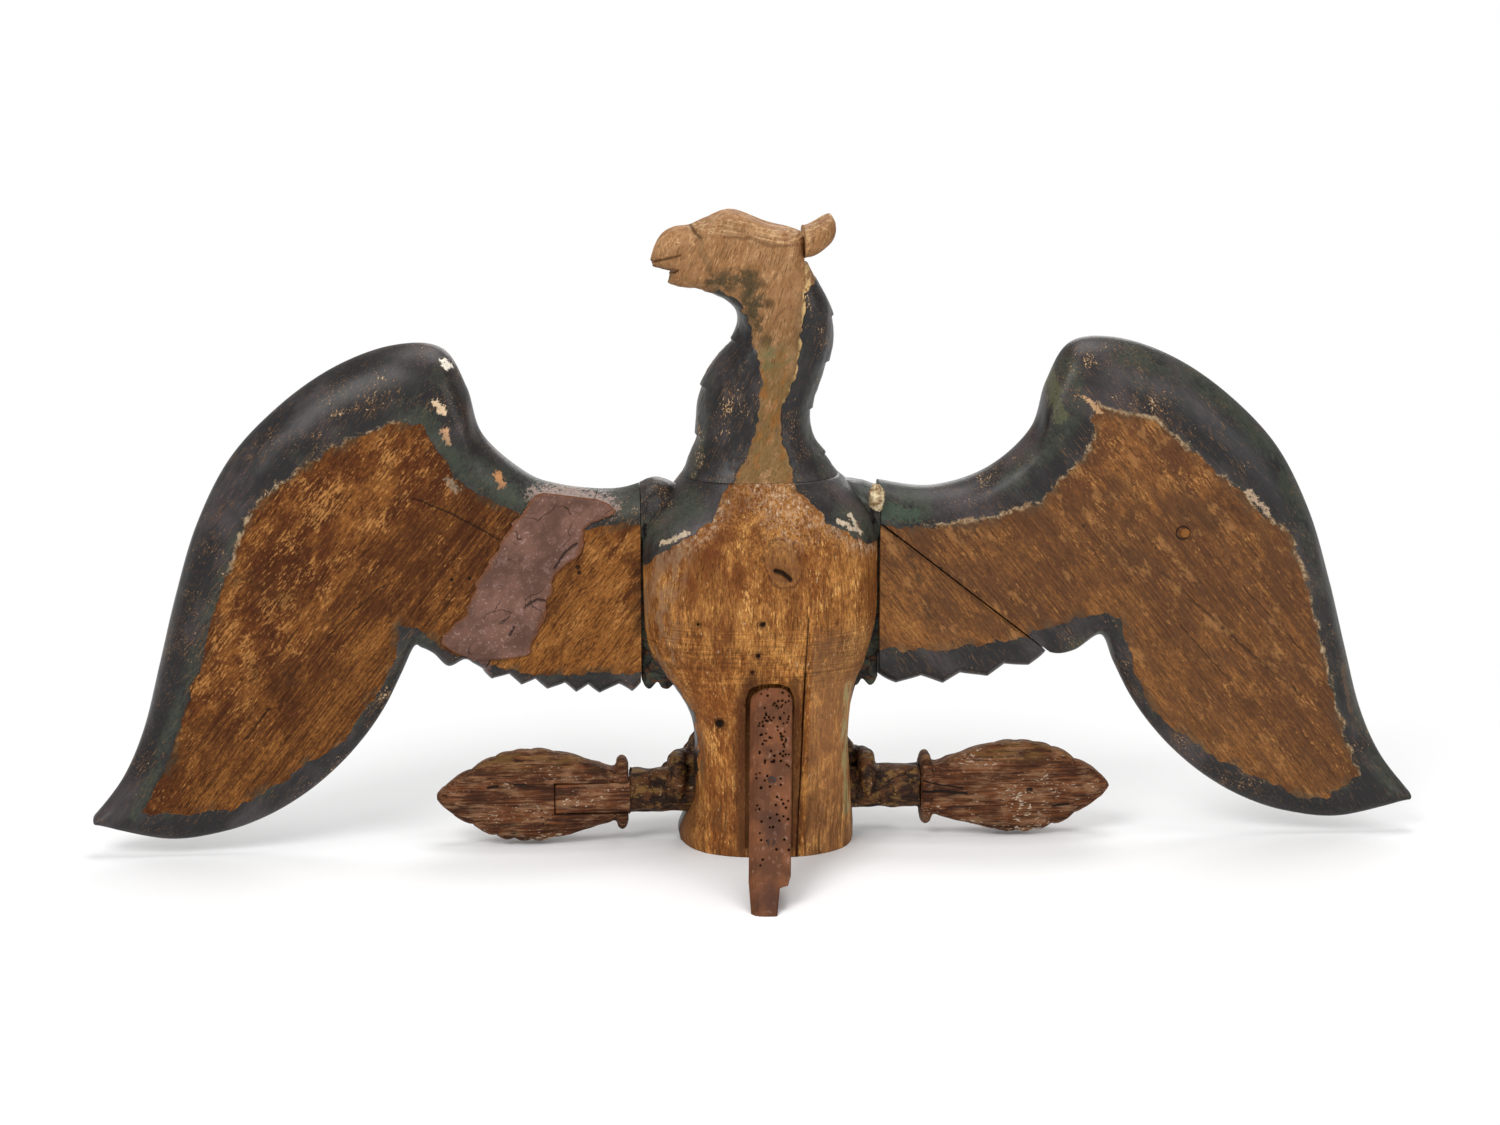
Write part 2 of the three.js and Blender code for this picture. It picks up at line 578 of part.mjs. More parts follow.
const RIGHT_SCARF_DOWELS = [[190, 242], [232, 209]].map(([x, z]) => {
  const [along, up] = [18, 24];
  const from = [WING_CENTRE + x - along, 22, z - up];
  return { from, to: [WING_CENTRE + x + along, 22, z + up], radius: 5 };
});
const LEFT_SCARF_DOWELS = [[178, 290], [222, 222]].map(([x, z]) => {
  const [along, up] = [26, 17];
  const from = [WING_CENTRE - x + along, 22, z - up];
  return { from, to: [WING_CENTRE - x - along, 22, z + up], radius: 5 };
});
const WING_PLUG = { from: [394, -GAP, 292], to: [394, 18, 292], radius: 4.2 };

function drilled(board, holes) {
  return holes.reduce((form, each) => form.subtract(hole(each)), board);
}

function rootFitted(board, side, dowels) {
  let form = drilled(board, dowels).subtract(tonguePocket(side));
  for (const place of Object.values(TONGUE_NAILS)) form = form.subtract(tongueNailHole(side, place));
  return form;
}

// Everything under the right wing's joint line, shifted up or down by half the gap
function underRightJoint(shift) {
  const [[x0, z0], [x1, z1]] = RIGHT_JOINT;
  const fall = (z1 - z0) / (x1 - x0);
  const line = (x) => z0 + (x - x0) * fall + shift;
  const outline = [[x0 - 20, line(x0 - 20)], [x1 + 20, line(x1 + 20)], [x1 + 20, 100], [x0 - 20, 100]];
  return solid(plate(outline, 1, -50, 100));
}

const rightBladeBoard = solid(wingBoard(1, RIGHT_LEADING, RIGHT_TRAILING, RIGHT_BLADE_SHAPES, 30))
  .subtract(underRightJoint(GAP / 2));
const leftBladeBoard = solid(wingBoard(-1, LEFT_LEADING, LEFT_TRAILING, LEFT_BLADE_SHAPES, 30));
const rightRootBoard = solid(
  wingBoard(1, RIGHT_ROOT_UPPER, RIGHT_ROOT_LOWER, RIGHT_ROOT_SHAPES, 2 * RIGHT_TEETH, RIGHT_TEETH),
).intersect(underRightJoint(-GAP / 2));
const leftRootBoard = solid(
  wingBoard(-1, LEFT_ROOT_UPPER, LEFT_ROOT_LOWER, LEFT_ROOT_SHAPES, 2 * LEFT_TEETH, LEFT_TEETH),
);
const rightBlade = drilled(rightBladeBoard, [...RIGHT_SCARF_DOWELS, WING_PLUG]);
const leftBlade = drilled(leftBladeBoard, LEFT_SCARF_DOWELS);
const rightRoot = rootFitted(rightRootBoard, 1, RIGHT_SCARF_DOWELS);
const leftRoot = rootFitted(leftRootBoard, -1, LEFT_SCARF_DOWELS);

function tongueDrilled(side) {
  return Object.values(TONGUE_NAILS).reduce(
    (form, place) => form.subtract(tongueNailHole(side, place)), solid(tongue(side)),
  );
}

// Head and neck, with a flat face where the crest is glued on
const headBlock = solid(carved(HEAD_STATIONS, 2 * (HEAD_STATIONS.length - 1), 16));
const crestSeat = solid(box(CREST_JOINT_X, FAR, -50, 200, 541, 640));
const head = headBlock.subtract(crestSeat).subtract(hole(NECK_DOWEL)).subtract(hole(CREST_PEG));
const crest = solid(carved(CREST_STATIONS, 6, 14)).subtract(hole(CREST_PEG));

// Strut: a batten leaning back from the slot to the ground, its foot worn to a narrow end
const strutAxis = STRUT_FOOT.clone().sub(STRUT_TOP);
const strutLength = strutAxis.length();
const strutDown = strutAxis.clone().normalize();
const strutAcross = new THREE.Vector3(0, 0, 1).cross(strutDown).normalize();
const strutInward = strutAcross.clone().cross(strutDown).normalize();
const strutFrame = new THREE.Matrix4().makeBasis(strutAcross, strutDown, strutInward).setPosition(STRUT_TOP);

const STRUT_HALF = 19;
const strutOutline = new THREE.Shape();
strutOutline.moveTo(-STRUT_HALF, 12);
strutOutline.quadraticCurveTo(-STRUT_HALF + 1, 0, -9, 0);
strutOutline.lineTo(9, 0);
strutOutline.quadraticCurveTo(STRUT_HALF, 2, STRUT_HALF, 14);
strutOutline.lineTo(STRUT_HALF - 0.5, strutLength * 0.83);
strutOutline.lineTo(STRUT_HALF - 3, strutLength * 0.87);
strutOutline.lineTo(9, strutLength * 0.88);
strutOutline.lineTo(4, strutLength + 40);
strutOutline.lineTo(-13, strutLength + 40);
strutOutline.lineTo(-STRUT_HALF, strutLength * 0.86);
strutOutline.closePath();

const strutSection = new THREE.Shape();
strutSection.moveTo(-STRUT_HALF - 1, 7);
strutSection.lineTo(-STRUT_HALF + 6, 0);
strutSection.lineTo(STRUT_HALF + 1, 0);
strutSection.lineTo(STRUT_HALF + 1, STRUT_THICKNESS);
strutSection.lineTo(-STRUT_HALF - 1, STRUT_THICKNESS);
strutSection.closePath();

const strutFace = new THREE.ExtrudeGeometry(strutOutline, {
  depth: STRUT_THICKNESS,
  bevelEnabled: false,
  curveSegments: 4,
});
const strutBar = new THREE.ExtrudeGeometry(strutSection, { depth: strutLength + 80, bevelEnabled: false });
strutBar.applyMatrix4(new THREE.Matrix4().makeBasis(
  new THREE.Vector3(1, 0, 0), new THREE.Vector3(0, 0, 1), new THREE.Vector3(0, -1, 0),
)).translate(0, strutLength + 60, 0);

const STRUT_NAILS = [0.41, 0.68].map((f) => f * strutLength);
const NAIL_SUNK = 0.8;

function strutNail(along, extra = 0) {
  const geometry = nail(22, extra).rotateX(-Math.PI / 2).translate(1, along, NAIL_SUNK);
  return geometry.applyMatrix4(strutFrame);
}

let strut = solid(strutFace.applyMatrix4(strutFrame)).intersect(solid(strutBar.applyMatrix4(strutFrame)));
strut = strut.subtract(solid(box(-FAR, FAR, -FAR, FAR, -FAR, 0)));
for (const along of STRUT_NAILS) strut = strut.subtract(solid(strutNail(along, GAP)));

// Lump of old gesso filler in the groove between the right shoulder and the wing
let filler = solid(box(100, 116, -12, 14, 315, 343));
for (const [dx, dy] of [[0, -GAP], [GAP, 0]]) filler = filler.subtract(bodyBlock.translate([dx, dy, 0]));
filler = filler.subtract(rightBladeBoard.translate([-GAP, 0, 0])).subtract(rightBladeBoard.translate([0, -GAP, 0]));

leftFoot = leftFoot.subtract(hole(FOOT_DOWELS.left));
rightFoot = rightFoot.subtract(hole(FOOT_DOWELS.right));
body = body.subtract(hole(FOOT_DOWELS.left));
sideBoard = sideBoard.subtract(hole(FOOT_DOWELS.right));

add('body_core', geometryOf(body), MATERIALS.bodyWood);
add('body_side_board', geometryOf(sideBoard), MATERIALS.bodyWood);
add('side_board_dowel_lower', dowel(SIDE_DOWELS[0]), MATERIALS.dowelWood);
add('side_board_dowel_upper', dowel(SIDE_DOWELS[1]), MATERIALS.dowelWood);
add('head_and_neck', geometryOf(head), MATERIALS.headWood);
add('neck_dowel', dowel(NECK_DOWEL), MATERIALS.dowelWood);
add('crest', geometryOf(crest), MATERIALS.headWood);
add('crest_peg', dowel(CREST_PEG), MATERIALS.dowelWood);
add('left_wing_blade', geometryOf(leftBlade), MATERIALS.wingWood);
add('left_wing_root', geometryOf(leftRoot), MATERIALS.wingWood);
add('right_wing_blade', geometryOf(rightBlade), MATERIALS.wingWood);
add('right_wing_root', geometryOf(rightRoot), MATERIALS.wingWood);
add('left_wing_putty', plate(PUTTY, -1, -2, -GAP), MATERIALS.putty);
add('right_wing_plug', dowel(WING_PLUG), MATERIALS.dowelWood);
add('right_joint_filler', geometryOf(filler), MATERIALS.gesso);
add('crossbar', geometryOf(bar), MATERIALS.barWood);
add('left_leaf_end', geometryOf(leftLeaf), MATERIALS.leafWood);
add('right_leaf_end', geometryOf(rightLeaf), MATERIALS.leafWood);
add('left_foot', geometryOf(leftFoot), MATERIALS.barWood);
add('right_foot', geometryOf(rightFoot), MATERIALS.barWood);
add('back_strut', geometryOf(strut), MATERIALS.strutWood);

for (const [name, side, dowels] of [['left', -1, LEFT_SCARF_DOWELS], ['right', 1, RIGHT_SCARF_DOWELS]]) {
  add(`${name}_wing_tongue`, geometryOf(tongueDrilled(side)), MATERIALS.wingPaint);
  add(`${name}_foot_dowel`, dowel(FOOT_DOWELS[name]), MATERIALS.dowelWood);
  ['lower', 'upper'].forEach((place, k) => {
    add(`${name}_tongue_nail_${place}`, tongueNail(side, TONGUE_NAILS[place]), MATERIALS.iron);
    add(`${name}_scarf_dowel_${place}`, dowel(dowels[1 - k]), MATERIALS.dowelWood);
  });
}
['upper', 'lower'].forEach((place, k) => {
  add(`strut_nail_${place}`, strutNail(STRUT_NAILS[k]), MATERIALS.iron);
});

export default group;
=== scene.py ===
"""Carved eagle ornament: the carving, the worn paint and the bare wood, made around the fixed frame.

Lengths in the tables are millimetres and every mesh is in metres. X runs along the wings, +Y is the
carved front, -Y the flat back that the camera sees, and +Z is up.
"""
import math

import bpy
import numpy as np
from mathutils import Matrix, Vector


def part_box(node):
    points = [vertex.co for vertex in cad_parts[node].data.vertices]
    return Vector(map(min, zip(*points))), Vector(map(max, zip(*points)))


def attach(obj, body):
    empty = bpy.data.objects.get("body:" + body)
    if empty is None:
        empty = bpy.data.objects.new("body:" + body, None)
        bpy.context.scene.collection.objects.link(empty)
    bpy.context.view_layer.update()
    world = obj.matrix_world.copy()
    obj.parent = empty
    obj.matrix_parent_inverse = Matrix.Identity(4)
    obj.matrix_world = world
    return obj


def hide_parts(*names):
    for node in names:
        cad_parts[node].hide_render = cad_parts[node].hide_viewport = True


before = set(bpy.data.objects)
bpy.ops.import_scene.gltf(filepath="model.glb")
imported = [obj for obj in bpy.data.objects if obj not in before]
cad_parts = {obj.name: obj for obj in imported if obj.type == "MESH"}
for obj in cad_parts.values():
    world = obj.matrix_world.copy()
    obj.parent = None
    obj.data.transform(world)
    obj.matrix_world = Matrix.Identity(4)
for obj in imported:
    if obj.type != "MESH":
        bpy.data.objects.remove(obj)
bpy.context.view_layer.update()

bl_info = {
    "name": "Carved eagle ornament",
    "version": (1, 0, 0),
    "blender": (4, 5, 0),
    "location": "View3D > Sidebar > Eagle",
    "description": "Builds the carving, paint and bare wood of a carved eagle around its frame",
    "category": "Object",
}

MM = 0.001
BODY = "root"
GAP = 0.3
WING_CENTRE = 2
NECK_JOINT_Z = 346
CREST_JOINT_X = 43
BAR_Y, BAR_Z, BAR_RADIUS = 34, 47, 22
BAR_LEFT, BAR_RIGHT = -119, 153
TENON_Z, TENON_HEIGHT, TENON_LENGTH = 45, 30, 70
TENON_BACK_Y, BLIND_TENON_BACK_Y, TENON_FRONT_Y = 13, 20, 38
LEAF_LENGTH = 179
SIDE_BOARD_TOP, SIDE_BOARD_FOOT_X, SIDE_BOARD_LEAN = 176, 33, 0.035
SLOT = {"left": -15, "right": 29, "foot": 9, "top": 167, "floor": -29}
STRUT_TOP, STRUT_FOOT = (8, -50, 165), (-6, -214, 0)
STRUT_THICKNESS = 28
TOOTH_DEPTH = 8

# Body block: height, left side, right side, back, widest depth, front, squareness
BODY_STATIONS = [
    (0, -71, 91, -38, 42, 64, 2.5), (14, -72, 91, -38, 42, 64, 2.5), (40, -62, 89, -38, 38, 62, 2.7),
    (75, -58, 86, -39, 34, 62, 3), (105, -58, 85, -41, 30, 66, 3), (130, -64, 87, -43, 26, 78, 2.8),
    (155, -80, 91, -46, 22, 96, 2.6), (180, -98, 101, -49, 20, 114, 2.4), (210, -106, 109, -51, 19, 126, 2.4),
    (245, -107.4, 111.4, -51, 19, 134, 2.4), (280, -107.2, 111.3, -46, 20, 137, 2.4),
    (296, -106.6, 111, -42, 23, 134, 2.4), (308, -102, 109, -37, 27, 128, 2.4),
    (320, -92, 103, -30, 33, 120, 2.4), (332, -80, 93, -22, 39, 112, 2.4),
    (340, -72.5, 83, -16.5, 43, 106, 2.4),
    (NECK_JOINT_Z - GAP, -68, 76, -13, 45, 101, 2.4),
]

# Shoulders beside the neck: x, top, bottom, back, widest depth, front, squareness
SHOULDERS = [
    [
        (-107.4, 340, 280, 1, 38, 48, 2.6), (-99, 343.5, 280, 3, 38, 50, 2.6),
        (-91, 344.6, 280, 6, 38, 52, 2.5), (-82, 342, 280, 11, 39, 56, 2.4),
        (-72, 338, 280, 18, 40, 60, 2.4), (-60, 337, 280, 24, 41, 62, 2.4),
    ], [
        (60, 340, 280, 24, 41, 62, 2.4), (78, 341.5, 280, 17, 40, 60, 2.4), (95, 339.5, 280, 8, 38, 54, 2.5),
        (104, 337, 280, 4, 38, 50, 2.6), (111.4, 335, 280, 1, 38, 48, 2.6),
    ],
]

# Neck and head: back-of-head rail x and z, throat rail x and z, back, widest depth, front, squareness
HEAD_STATIONS = [
    (76, NECK_JOINT_Z, -68, NECK_JOINT_Z, -13, 45, 101, 2.4), (71, 352, -64, 352, -11, 45, 103, 2.4),
    (65, 361, -60, 362, -8, 45, 108, 2.3),
    (54, 376, -54, 378, -4, 46, 104, 2.3), (50, 395, -53, 396, -1, 47, 102, 2.3),
    (52, 415, -52, 414, 0, 48, 100, 2.3), (61, 436, -46, 433, 2, 48, 97, 2.3),
    (68, 457, -34, 453, 3, 48, 94, 2.5), (71, 477, -20, 470, 4, 47, 91, 2.6),
    (70, 492, -15, 485, 5, 46, 88, 2.8), (65, 508, -18, 498, 6, 45, 86, 3.2),
    (56, 524, -28, 508, 7, 44, 84, 3.6), (46, 545, -40, 514, 8, 44, 82, 4),
    (44, 565, -50, 517, 8, 44, 80, 4), (33, 572, -57, 519, 8, 44, 80, 4),
    (10, 578, -62, 519.5, 8, 43, 79, 4), (-22, 589.5, -68, 520, 9, 42, 77, 4),
    (-46, 582, -74, 521, 11, 42, 74, 3.5), (-60, 576, -80, 523, 14, 42, 70, 3),
    (-74, 574, -78, 530, 16, 42, 68, 2.8), (-85, 568, -84, 534, 20, 42, 64, 2.6),
    (-92, 557, -89, 536, 24, 42, 60, 2.5), (-96, 544, -94, 538, 30, 42, 54, 2.3),
]

CREST_STATIONS = [
    (CREST_JOINT_X + GAP, 574, CREST_JOINT_X + GAP, 546, 11, 40, 71, 3.5),
    (50, 576.5, 51, 547.5, 11, 40, 71, 3.5), (57, 580, 60, 552, 12, 40, 69, 3.2),
    (63, 584, 68, 559, 14, 40, 66, 3), (68, 585, 72, 568, 18, 40, 62, 2.6),
    (71.5, 580, 72.5, 575, 28, 40, 52, 2.3),
]

# Leaf end: distance from the bar's shoulder, top, bottom, back, widest depth, front, squareness
LEAF_STATIONS = [
    (GAP, 72, 19, 14, 36, 56, 2.3), (2.5, 78, 12, 10, 36, 60, 2.3), (6.5, 80, 9.5, 9, 36, 61, 2.3),
    (10.5, 78, 12, 10, 36, 60, 2.4), (13.5, 71, 19, 12, 35, 54, 3), (22, 73, 18, 12, 31, 54, 4),
    (48, 84, 11, 12, 28, 56, 5), (84, 91.5, 3, 12, 27, 57, 5), (116, 88.5, 5, 12, 27, 54, 5),
    (141, 78, 15, 12, 27, 48, 5), (160, 67, 27, 13, 26, 42, 4), (173, 56, 37, 15, 26, 37, 3.5),
    (LEAF_LENGTH, 49, 44, 20, 26, 32, 2.5),
]

# Wing edges as half-span and height, paired point by point from the root to the tip
RIGHT_LEADING = [
    (110, 340), (160, 334), (212, 350), (252, 386), (266, 430), (288, 466), (332, 469), (385, 450),
    (436, 415), (482, 367), (514, 306), (535, 240), (551, 178), (567, 118), (587, 73), (615, 37),
]
RIGHT_TRAILING = [
    (110, 302), (150, 271), (195, 235), (235, 204), (268, 180), (292, 178), (318, 193), (330, 168),
    (345, 138), (364, 110), (389, 82), (420, 56), (456, 35), (497, 21), (548, 16), (612, 31),
]
LEFT_LEADING = [(148, 335), (180, 339)] + RIGHT_LEADING[2:]
LEFT_TRAILING = [
    (256, 171), (264, 176), (272, 180), (287, 174), (300, 186), (311, 192),
] + RIGHT_TRAILING[6:]
RIGHT_JOINT = ((110, 305), (266, 182))
ROOT_EDGES = {
    "right": (
        [(110, 308), (162, 267), (214, 226), (264, 187)], [(110, 160), (162, 157), (214, 164), (264, 178)],
    ),
    "left": (
        [(110, 340), (122, 336.5), (134, 335), (147.5, 335)],
        [(110, 155), (158, 154), (206, 160), (255.5, 171)],
    ),
}
TEETH = {"left": 6, "right": 4}

# Section shapes of the wing boards: leading roll and depth, trailing roll and depth, crown of the front
CUT, THICK = 0.4, 46
OUTER_SHAPES = [
    (56, 44, 22, 20, 14), (48, 42, 26, 20, 14), (40, 40, 28, 20, 12), (32, 34, 28, 18, 8),
    (14, 20, 12, 14, 3),
]
BLADE_SHAPES = {
    "right": [
        (34, 40, CUT, THICK, 6), (36, 40, CUT, THICK, 8), (42, 42, CUT, THICK, 10), (52, 44, 12, 30, 12),
    ] + OUTER_SHAPES,
    "left": [(36, 40, 10, 26, 12), (40, 42, 12, 24, 12), (52, 44, 16, 22, 12)] + OUTER_SHAPES,
}
ROOT_SHAPES = {
    "right": [(CUT, THICK, 12, 26, 2), (CUT, THICK, 12, 26, 2), (CUT, THICK - 6, 10, 24, 0)],
    "left": [(34, 40, 12, 26, 12), (36, 40, 10, 26, 12)],
}

# Borders between bare wood and paint, as x and z
WOOD_ON_WING = {
    "left": [
        (-90, 309), (-150, 306), (-181, 303), (-210, 313), (-242, 332), (-273, 347), (-285, 368), (-306, 402),
        (-324, 406), (-369, 389), (-415, 362),
        (-450, 335), (-465, 316), (-475, 280), (-495, 234), (-515, 168), (-530, 122), (-545, 84), (-567, 44),
        (-524, 41), (-487, 45), (-450, 63), (-422, 82), (-385, 105), (-366, 133), (-343, 165), (-331, 193),
        (-328, 214), (-310, 214), (-290, 192), (-262, 182), (-230, 172), (-190, 167), (-90, 168),
    ],
    "right": [
        (90, 309), (140, 299), (167, 302), (217, 309), (259, 322), (279, 345), (304, 371), (309, 414),
        (326, 406), (363, 398), (387, 379), (411, 356), (444, 332), (465, 308), (492, 289), (510, 241),
        (523, 189), (540, 131), (551, 92), (564, 58), (538, 37), (519, 34), (495, 44), (461, 60),
        (428, 78), (394, 100), (365, 129), (350, 161), (340, 192), (335, 211), (321, 219), (284, 210),
        (233, 193), (168, 185), (90, 187),
    ],
}
RUBBED_BORDER = {"left": (20, 27), "right": (21, 30)}
FLAKED_BORDER = {"left": (8, 14), "right": (2, 20)}
OPEN_GRAIN = {
    "left": [(-470, 70), (-390, 120), (-310, 230), (-240, 270)],
    "right": [(180, 270), (260, 260), (330, 230), (400, 140), (500, 100), (510, 180), (440, 270)],
}
GREEN_PAINT = {
    "left": [
        ([(-311, 412), (-298, 384), (-272, 356), (-228, 336), (-120, 330)], 30),
        ([(-472, 300), (-503, 225), (-523, 165), (-553, 85), (-575, 40)], 9),
        ([(-340, 165), (-326, 196), (-300, 204)], 10),
    ],
    "right": [
        ([(112, 330), (150, 318)], 18), ([(284, 446), (292, 410), (264, 372), (230, 340)], 15),
        ([(336, 462), (400, 440), (450, 402), (500, 330), (534, 240), (566, 130), (604, 40)], 20),
        ([(330, 168), (318, 192), (290, 184)], 12),
    ],
    "body": [
        ([(-106, 296), (-82, 312), (-62, 326)], 20), ([(76, 314), (96, 304), (108, 300), (102, 336)], 18),
    ],
    "head": [([(-58, 352), (-50, 400), (-44, 440)], 9), ([(62, 352), (44, 400), (56, 440)], 9)],
}
WORN_PAINT = {
    "left": [
        ([(-332, 431), (-360, 424), (-414, 388), (-450, 333)], 7), ([(-486, 306), (-488, 268)], 7),
        ([(-340, 452), (-318, 424)], 10), ([(-512, 157), (-505, 190)], 5),
        ([(-329, 186), (-344, 144), (-400, 70)], 7), ([(-110, 318), (-192, 322)], 8),
    ],
    "right": [
        ([(290, 448), (322, 458)], 12), ([(314, 420), (341, 420), (374, 408)], 9),
        ([(186, 326), (223, 351), (250, 365)], 8), ([(404, 424), (416, 414)], 7),
        ([(340, 140), (400, 68)], 6),
    ],
    "body": [([(-96, 312), (-72, 326)], 8), ([(80, 306), (100, 300)], 10)],
    "head": [
        ([(-13, 446), (-14, 410)], 9), ([(-26, 424), (-32, 410)], 8), ([(-33, 391), (-36, 368)], 12),
        ([(45, 510), (47, 492), (42, 470)], 7), ([(40, 440), (34, 420)], 7), ([(44, 380), (52, 356)], 9),
        ([(-52, 376), (-48, 420)], 8), ([(60, 400), (54, 440), (56, 480)], 8), ([(-60, 352), (-52, 366)], 8),
    ],
}
WOOD_ON_BODY = [
    (-23, 352), (-35, 334), (-46, 316), (-62, 302), (-78, 293), (-90, 284), (-101, 273), (-140, 262),
    (-140, 190), (-96, 182), (-78, 158), (-60, 130), (-56, 100), (-55, 74), (-66, 52), (-110, 40),
    (-110, -20), (98, -20), (98, 120), (130, 180), (130, 280), (97, 292), (85, 298), (68, 309), (54, 320),
    (40, 333), (29, 357), (3, 370),
]
WOOD_ON_HEAD = [
    (-26, 330), (-22, 348), (-15, 366), (-6, 384), (-1, 402), (3, 430), (2, 448), (-1, 462), (-4, 466),
    (-8, 492), (-16, 506), (-30, 520), (-60, 512), (-130, 500), (-130, 620), (110, 620), (110, 520),
    (60, 531), (42, 516), (40, 484), (35, 448), (28, 430), (24, 421), (20, 402), (21, 384), (27, 365),
    (30, 353), (34, 330),
]
PUTTY_STATIONS = [
    (-197, 338, -146, 331), (-208, 330, -131, 319), (-226, 307, -158, 304), (-240, 283, -164, 281),
    (-253, 262, -183, 264), (-263, 241, -191, 238), (-274, 222, -198, 216), (-292, 203, -207, 196),
    (-282, 192, -214, 187), (-262, 182, -233, 183),
]


# Helpers for shapes worked out with numpy


def spline(rows, places):
    """Catmull-Rom through rows: a cubic between neighbours whose end slopes are half the difference
    of the rows on either side, so that whole places give the rows themselves."""
    rows = np.asarray(rows, float)
    last = len(rows) - 1
    i = np.clip(np.floor(places).astype(int), 0, last - 1)
    t = (np.asarray(places) - i)[:, None]
    a, b, c, d = rows[np.maximum(i - 1, 0)], rows[i], rows[i + 1], rows[np.minimum(i + 2, last)]
    start, end = (c - a) / 2, (d - b) / 2
    cubic = 2 * b - 2 * c + start + end
    square = -3 * b + 3 * c - 2 * start - end
    return ((cubic * t + square) * t + start) * t + b


def spread(rows, count):
    """Rows at even steps from the first to the last."""
    return spline(rows, np.linspace(0, len(rows) - 1, count))


def ease(low, high, value):
    """0 below low, 1 above high, and 3t^2 - 2t^3 between."""
    t = np.clip((value - low) / (high - low), 0, 1)
    return t * t * (3 - 2 * t)


def ripple(points, wavelength, seed, count=14):
    """Smooth noise from -1 to 1: cosine waves of random directions and phases, near a wavelength long."""
    rng = np.random.default_rng(seed)
    directions = rng.normal(size=(count, 3))
    directions /= np.linalg.norm(directions, axis=1)[:, None]
    lengths = wavelength * rng.uniform(0.7, 1.5, count)
    phases = rng.uniform(0, 2 * math.pi, count)
    total = np.zeros(points.shape[:-1])
    for direction, length, phase in zip(directions, lengths, phases):
        total += np.cos(points @ direction * (2 * math.pi / length) + phase)
    return np.clip(total / math.sqrt(count), -1.6, 1.6) / 1.6


def segment_distance(x, z, line):
    """Distance from each point to a broken line of x, z points."""
    line = np.asarray(line, float)
    best = np.full(x.shape, 1e9)
    for (x0, z0), (x1, z1) in zip(line[:-1], line[1:]):
        dx, dz = x1 - x0, z1 - z0
        t = np.clip(((x - x0) * dx + (z - z0) * dz) / (dx * dx + dz * dz + 1e-9), 0, 1)
        best = np.minimum(best, np.hypot(x - x0 - t * dx, z - z0 - t * dz))
    return best


def inside_distance(x, z, outline):
    """Distance to a closed outline, positive inside it: the sign comes from how often a ray crosses it."""
    closed = list(outline) + [outline[0]]
    inside = np.zeros(x.shape, bool)
    for (x0, z0), (x1, z1) in zip(closed[:-1], closed[1:]):
        crosses = (z0 > z) != (z1 > z)
        inside ^= crosses & (x < (x1 - x0) * (z - z0) / (z1 - z0 + 1e-12) + x0)
    return np.where(inside, 1, -1) * segment_distance(x, z, closed)


def normals_of(rings):
    """Unit normals of a closed tube of rings (n, m, 3), pointing away from each ring's centre."""
    along = np.gradient(rings, axis=0)
    around = np.roll(rings, -1, axis=1) - np.roll(rings, 1, axis=1)
    normal = np.cross(along, around)
    normal /= np.linalg.norm(normal, axis=2, keepdims=True) + 1e-12
    outward = rings - rings.mean(axis=1, keepdims=True)
    return normal * np.where((normal * outward).sum() < 0, -1.0, 1.0)


def raised(rings, heights):
    """Rings moved along their normals by heights."""
    return rings + normals_of(rings) * heights[..., None]


def carved_rings(rows, corners):
    """Rings between two rails: a superellipse |c|^(2/p), |s|^(2/p) whose back and front have their own
    depth. Returns points (n, corners, 3) and the angle of each corner, 0 at the first rail, and the
    back on the first half turn."""
    angle = np.linspace(0, 2 * math.pi, corners, endpoint=False)
    c, s = np.cos(angle), np.sin(angle)
    ax, az, bx, bz, back, side, front, square = (np.asarray(rows).T)[:, :, None]
    power = np.where(s > 0, 2 / square, 2 / np.minimum(square, 2.6))
    along = 0.5 - 0.5 * np.sign(c) * np.abs(c) ** power
    depth = np.where(np.abs(s) < 1e-9, 0, np.abs(s) ** power)
    y = np.where(s > 0, side - (side - back) * depth, side + (front - side) * depth)
    return np.stack([ax + (bx - ax) * along, y, az + (bz - az) * along], axis=2), angle


def grid_faces(rings, size):
    """Quads between neighbouring closed rings of size points."""
    r, k = np.meshgrid(np.arange(rings - 1), np.arange(size), indexing="ij")
    a, b = r * size + k, r * size + (k + 1) % size
    return np.stack([a, b, b + size, a + size], axis=2).reshape(-1, 4)


def closed_skin(rings):
    """Vertices and faces of a closed surface through rings (n, m, 3), with a fan over each end."""
    count, size = rings.shape[:2]
    ends = np.stack([rings[0].mean(axis=0), rings[-1].mean(axis=0)])
    points = np.concatenate([rings.reshape(-1, 3), ends])
    k = np.arange(size)
    following = (k + 1) % size
    offset = (count - 1) * size
    first = np.stack([following, k, np.full(size, count * size)], axis=1)
    last = np.stack([offset + k, offset + following, np.full(size, count * size + 1)], axis=1)
    return points, [grid_faces(count, size), first, last]


